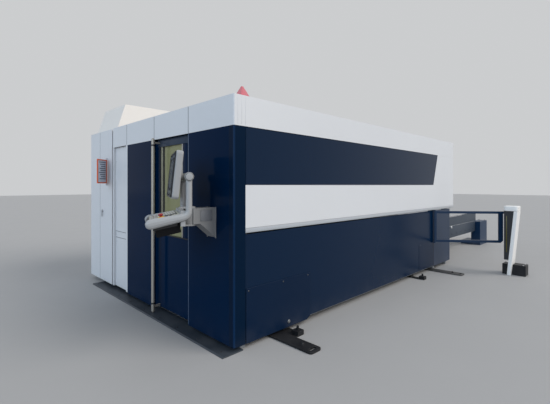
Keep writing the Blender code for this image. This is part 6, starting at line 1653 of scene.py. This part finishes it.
    def screen_face(self) -> None:
        """Bezel and plain display fields of the screen."""
        front = self.screen_front
        points = [tuple(self.screen_axes @ Vector((front - 0.0005, y, z))) for y,
                  z in rectangle(*self.screen_box)]
        self.seal("screen_bezel", points, (0.010, 0.004), BLACK_GRAIN, "black_plastic", 0.012,
                  body="monitor")
        rows = [0.105 - 0.036 * row for row in range(6)]
        keys = [-0.225 + 0.0585 * key for key in range(8)]
        fields = (("screen_header", SCREEN_BLUE, [(-0.225, 0.155, 0.225, 0.185)]),
                  ("screen_side_list", SCREEN_PALE, [(-0.225, z, -0.125, z + 0.026) for z in rows]),
                  ("screen_work_field", SCREEN_BLUE, [(-0.110, -0.110, 0.140, 0.140)]),
                  ("screen_soft_keys", SCREEN_PALE, [(y, -0.165, y + 0.050, -0.135) for y in keys]),
                  ("screen_part_shapes", SCREEN_PALE, [(-0.085, 0.040, -0.010, 0.110),
                                                       (0.015, 0.040, 0.090, 0.110),
                                                       (-0.085, -0.070, 0.005, 0.010),
                                                       (0.030, -0.085, 0.110, 0.010)]))
        for step, (name, finish, shapes) in enumerate(fields):
            face = front - 0.0004 - 0.0002 * step
            boxes = [((face - 0.0003, -y1, z0), (face, -y0, z1)) for y0, z0, y1, z1 in shapes]
            self.blocks(name, boxes, 0.0001, finish, "black_plastic", "monitor", 1, self.screen_axes)

    def bracket_details(self) -> None:
        """Cover plates in the bracket's side recesses, their screws, and the wall flange."""
        lo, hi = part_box("console_bracket")
        left, right = hi.x + self.cover_span[0], hi.x + self.cover_span[1]
        covers = [((left + 0.003, y, 1.211), (right - 0.003, y + 0.0026, 1.316))
                  for y in (lo.y + 0.0002, hi.y - 0.0028)]
        self.blocks("bracket_covers", covers, 0.001, BRACKET_COVER, "console_shell", "machine")
        points = [(x, lo.y + 0.0002, z) for x in (left + 0.015, right - 0.015) for z in (1.223, 1.304)]
        self.screws("bracket_screws", points, Facing.TO_SIDE, "bright_steel", 0.0045, DULL_ZINC, "machine")
        wall = hi.x - 0.0002
        flanges = [((wall - 0.006, y, lo.z - 0.008), (wall, y + 0.0098, hi.z + 0.004))
                   for y in (lo.y - 0.010, hi.y + 0.0002)]
        self.blocks("bracket_flanges", flanges, 0.0015, BRACKET_GREY, "console_shell", "machine")


@dataclass
class Gantry(SubAssembly):
    """Machine bed, gantry, carriage and cutting head."""

    bolt_pitch: float = 0.12

    def build(self) -> None:
        """Finish these solids and add their pieces."""
        self.dress(PRIMER, "bed_frame")
        self.dress(SLATE, "gantry_beam")
        self.dress(SHELL_GREY, "gantry_carriage")
        self.dress(BRIGHT, "cutting_head")
        self.nozzle()
        self.fixings()

    def nozzle(self) -> None:
        """Copper nozzle and the head's grip ring."""
        lo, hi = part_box("cutting_head")
        axis = shift(lo.x + (hi.y - lo.y) / 2, (lo.y + hi.y) / 2, lo.z)
        tip = turned([(0.0035, 0.0), (0.010, 0.014), (0.016, 0.016), (0.016, 0.024), (0.012, 0.026)], 28)
        self.solid("nozzle_tip", moved(tip, axis @ shift(z=0.0005)), COPPER, "bright_steel", "cutting_head")
        ring = turned([(0.046, 0.0), (0.0475, 0.002), (0.0475, 0.020), (0.046, 0.022)], 40)
        self.solid("head_grip_ring", moved(ring, axis @ shift(z=0.30)), BLACK_GRAIN, "black_plastic",
                   "cutting_head")

    def fixings(self) -> None:
        """Screws of the carriage plate, bolts on the gantry beam and screw caps in the bed's guideways."""
        lo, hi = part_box("gantry_carriage")
        points = [(lo.x, y, z) for y in (lo.y + 0.03, hi.y - 0.03)
                  for z in spaced(lo.z + 0.05, hi.z - 0.05, 3)]
        self.screws("carriage_screws", points, Facing.TO_DOOR, "bright_steel", 0.008, body="carriage")
        pitch = self.bolt_pitch
        lo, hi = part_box("gantry_beam")
        self.lattice("gantry_beam_bolts", HARDWARE.screw(0.008), (1, int((hi.y - lo.y - 0.2) / pitch)),
                     (0.1, pitch), ((lo.x + hi.x) / 2, lo.y + 0.1, hi.z), Facing.UP.value, BLACKED,
                     "black_steel", math.pi, "gantry")
        lo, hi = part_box("bed_frame")
        for side, y in (("near", lo.y + 0.10), ("far", hi.y - 0.10)):
            self.lattice(f"guideway_caps_{side}", HARDWARE.screw(0.006),
                         (int((hi.x - lo.x - 0.3) / pitch), 1), (pitch, 0.1),
                         (lo.x + 0.06, y, hi.z - 0.0034), Facing.UP.value, BRIGHT, "bright_steel", math.pi)


@dataclass
class Changer(SubAssembly):
    """Pallets, lifting frame, its base and the end blocks."""

    body: str = "changer_lift"
    clip_x: float = 2.42
    clip_face: float = 0.008
    # Where the painted highlight line along the upper beam's edge ends.
    upper_highlight_end: float = 3.20
    beam_bolts: int = 9

    def build(self) -> None:
        """Finish these solids and add their pieces."""
        self.dress(SLATTED, "pallet_upper", "pallet_lower")
        self.dress(SLATE, "changer_lift")
        self.dress(BLACKED, "lift_base")
        self.dress(BLOCK_BLUE, "lift_block_near", "lift_block_far")
        self.frame_bolts()
        self.beam_strips()
        self.block_bolts()

    def frame_bolts(self) -> None:
        """Bolts along the outer face of both side beams."""
        lo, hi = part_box("changer_lift")
        pitch = (hi.x - lo.x - 0.5) / (self.beam_bolts - 1)
        for side, y, facing in (("near", lo.y, Facing.TO_SIDE), ("far", hi.y, Facing.TO_BACK)):
            self.lattice(f"lift_beam_bolts_{side}", HARDWARE.hexagon(0.009), (self.beam_bolts, 1),
                         (pitch, 0.12), (lo.x + 0.2, y, 0.44), facing.value, BLACKED, "black_steel", 1.0)

    def beam_strips(self) -> None:
        """Darker skirts of painted shade on the lower beams, bright wear strips on top, painted highlight
        lines along the ledge and the upper edge, and the white limit clip of the two side beams.
        """
        lo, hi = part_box("changer_lift")
        start, stop, clip_x = lo.x + 0.02, low("lift_block_near").x - 0.004, self.clip_x
        # Darker skirts: painted shade on the lower part of each beam.
        skirts = [((start, near, 0.366), (stop, near + 0.0027, 0.6185))
                  for near in (lo.y - 0.003, hi.y + 0.0003)]
        self.blocks("lift_beam_skirts", skirts, 0.0012, SKIRT_SHADE_BLUE, "slate_paint")
        forms = [eased_block((lo.x + 0.01, y, hi.z - 0.0002), (hi.x - 0.01, y + 0.020, hi.z + 0.004), 0.001)
                 for y in (lo.y + 0.017, hi.y - 0.037)]
        # Bright lines on the ledge: painted highlight along its top edge.
        forms += [eased_block((start, y, 0.6202), (stop, y + 0.014, 0.6265), 0.0015)
                  for y in (lo.y - 0.001, hi.y - 0.013)]
        # Bright lines at the upper face's top edge: painted highlight.
        forms += [eased_block((start, y, hi.z - 0.018), (self.upper_highlight_end, y + 0.0026, hi.z - 0.002),
                              0.0008, 1) for y in (lo.y + 0.0122, hi.y - 0.0148)]
        self.solid("lift_wear_strips", gathered(forms), BRIGHT, "bright_steel")
        clips = [((clip_x + first, lo.y - self.clip_face, base), (clip_x + last, lo.y - 0.0032, 0.6265))
                 for first, last, base in ((0.0, 0.030, 0.5960), (0.048, 0.075, 0.570))]
        self.blocks("limit_clip", clips, 0.002, WHITE_CLIP, "white_paint")

    def block_bolts(self) -> None:
        """Bolts on top of the two end blocks."""
        for side in ("near", "far"):
            lo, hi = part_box(f"lift_block_{side}")
            middle = lo.y + 0.1075 if side == "near" else hi.y - 0.1075
            points = [(x, middle + off, hi.z) for x in (lo.x + 0.05, hi.x - 0.05) for off in (-0.07, 0.07)]
            self.scatter(f"block_bolts_{side}", HARDWARE.hexagon(0.010), points, Facing.UP, BLACKED,
                         "black_steel", 1.0, 5, "machine")


@dataclass
class Guarding(SubAssembly):
    """Swing gate with its hinge, the light-barrier column, and the floor's anchor bars and jacks."""

    def build(self) -> None:
        """Finish these solids and add their pieces."""
        self.dress(GATE_BLUE, "safety_gate", "gate_hinge")
        self.dress(BLACKED, "column_base", "anchor_bar_front", "levelling_jack")
        self.dress(COLUMN_WHITE, "column_slab", "column_cap")
        self.dress(BLACK_GRAIN, "light_curtain")
        self.dress(BAR_STEEL, "anchor_bar_rear")
        self.column_pieces()
        self.anchor_bolts()

    def column_pieces(self) -> None:
        """Dull yellow window down the light curtain, bolts on the column's base and screws on its cap."""
        lo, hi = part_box("light_curtain")
        strip = ((lo.x - 0.0006, hi.y - 0.0455, lo.z + 0.132), (lo.x + 0.002, hi.y - 0.0305, hi.z - 0.087))
        self.blocks("sensor_window", [strip], 0.001, CURTAIN_YELLOW, "signal_yellow")
        lo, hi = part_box("column_base")
        right, front = hi.x - 0.03, lo.y + 0.04
        points = [(lo.x + 0.03, front, hi.z), (right, front, hi.z), (right, hi.y - 0.04, hi.z)]
        self.scatter("column_base_bolts", HARDWARE.hexagon(0.009), points, Facing.UP, BRIGHT,
                     "bright_steel", 1.0, 2)
        lo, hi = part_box("column_cap")
        points = [(x, lo.y, hi.z - 0.03) for x in (lo.x + 0.05, hi.x - 0.05)]
        self.screws("column_cap_screws", points, Facing.TO_SIDE, "bright_steel", 0.006)

    def anchor_bolts(self) -> None:
        """Bolts in the slots of the anchor bars."""
        corners = [low(node) for node in ("anchor_bar_front", "anchor_bar_rear")]
        points = [(corner.x + 0.080, corner.y + 0.175, 0.020) for corner in corners]
        self.scatter("anchor_bar_bolts", HARDWARE.hexagon(0.015), points, Facing.UP, BLACKED,
                     "bright_steel", 1.0, 4)


# Studio


@dataclass
class Studio:
    """Floor, world, lamps and the camera at the photograph's viewing angle."""

    camera_set: Point = (-2.0386, -2.5924, 1.555)
    camera_look: Point = (0.7038, 0.7101, 0.0)
    sensor_mm: float = 36.0
    focal_px: float = 357.0
    image_width_px: float = 550.0
    horizon_rise_px: float = 17.0
    backdrop: Colour = (0.60, 0.61, 0.62)
    ambient: Colour = (0.49, 0.53, 0.59)
    floor_reach: float = 60.0

    def build(self) -> None:
        """Set up everything around the machine."""
        self.world()
        reach = self.floor_reach
        piece_from("studio_floor", prism(rectangle(-reach, -reach, reach, reach), -0.05, -0.0005),
                            FLOOR_GREY)
        self.sun("key", 2.0, 40.0, (1.0, 0.965, 0.92), (52.0, 0.0, 28.0))
        self.sun("fill", 1.20, 60.0, (0.58, 0.78, 1.0), (68.0, 0.0, -80.0))
        self.camera()

    def world(self) -> None:
        """Even soft light, with a plain pale backdrop for the camera, gloss and glass."""
        world = bpy.data.worlds.new("studio")
        world.use_nodes = True
        bpy.context.scene.world = world
        wiring = Wiring(world.node_tree)
        light = world.node_tree.nodes["Background"]
        wiring.feed(light, {"Color": rgba(self.ambient), "Strength": 1.0})
        seen = wiring.add("ShaderNodeBackground", {"Color": rgba(self.backdrop)})
        rays = wiring.add("ShaderNodeLightPath").outputs
        either = wiring.maths("MAXIMUM", rays["Is Camera Ray"], rays["Is Transmission Ray"])
        direct = wiring.maths("MAXIMUM", either, rays["Is Glossy Ray"])
        mix = wiring.add("ShaderNodeMixShader", {"Fac": direct, 1: light.outputs[0], 2: seen.outputs[0]})
        wiring.feed(world.node_tree.nodes["World Output"], {"Surface": mix.outputs[0]})

    def sun(self, name: str, energy: float, spread_deg: float, colour: Colour, turn_deg: Point) -> None:
        """Sun lamp with a broad disc."""
        data = bpy.data.lights.new(name, "SUN")
        data.energy = energy
        data.angle = math.radians(spread_deg)
        data.color = colour
        item = bpy.data.objects.new(name, data)
        item.rotation_euler = [math.radians(angle) for angle in turn_deg]
        bpy.context.scene.collection.objects.link(item)

    def camera(self) -> None:
        """Level camera with the photograph's place, direction and field of view."""
        data = bpy.data.cameras.new("photo_camera")
        data.sensor_width = self.sensor_mm
        data.lens = self.sensor_mm * self.focal_px / self.image_width_px
        data.shift_y = -self.horizon_rise_px / self.image_width_px
        data.clip_end = 200.0
        item = bpy.data.objects.new("photo_camera", data)
        item.location = Vector((low("front_fascia").x, low("side_band").y, 0.0)) + Vector(self.camera_set)
        item.rotation_euler = Vector(self.camera_look).to_track_quat("-Z", "Y").to_euler()
        bpy.context.scene.collection.objects.link(item)
        bpy.context.scene.camera = item
        bpy.context.scene.view_settings.view_transform = "Standard"


def main() -> None:
    """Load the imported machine, dress it sub-assembly by sub-assembly and set up the studio."""
    logging.basicConfig(level=logging.INFO, format="%(message)s")
    FRAME.update(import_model())
    Studio().build()
    for maker in (CabinSide, CabinFront, AccessDoor, ServiceBay, RoofAndBack, Console, Gantry, Changer,
                  Guarding):
        log.info("sub-assembly %s", maker.__name__)
        maker().build()
    HARDWARE.clear()


if __name__ == "__main__":
    main()
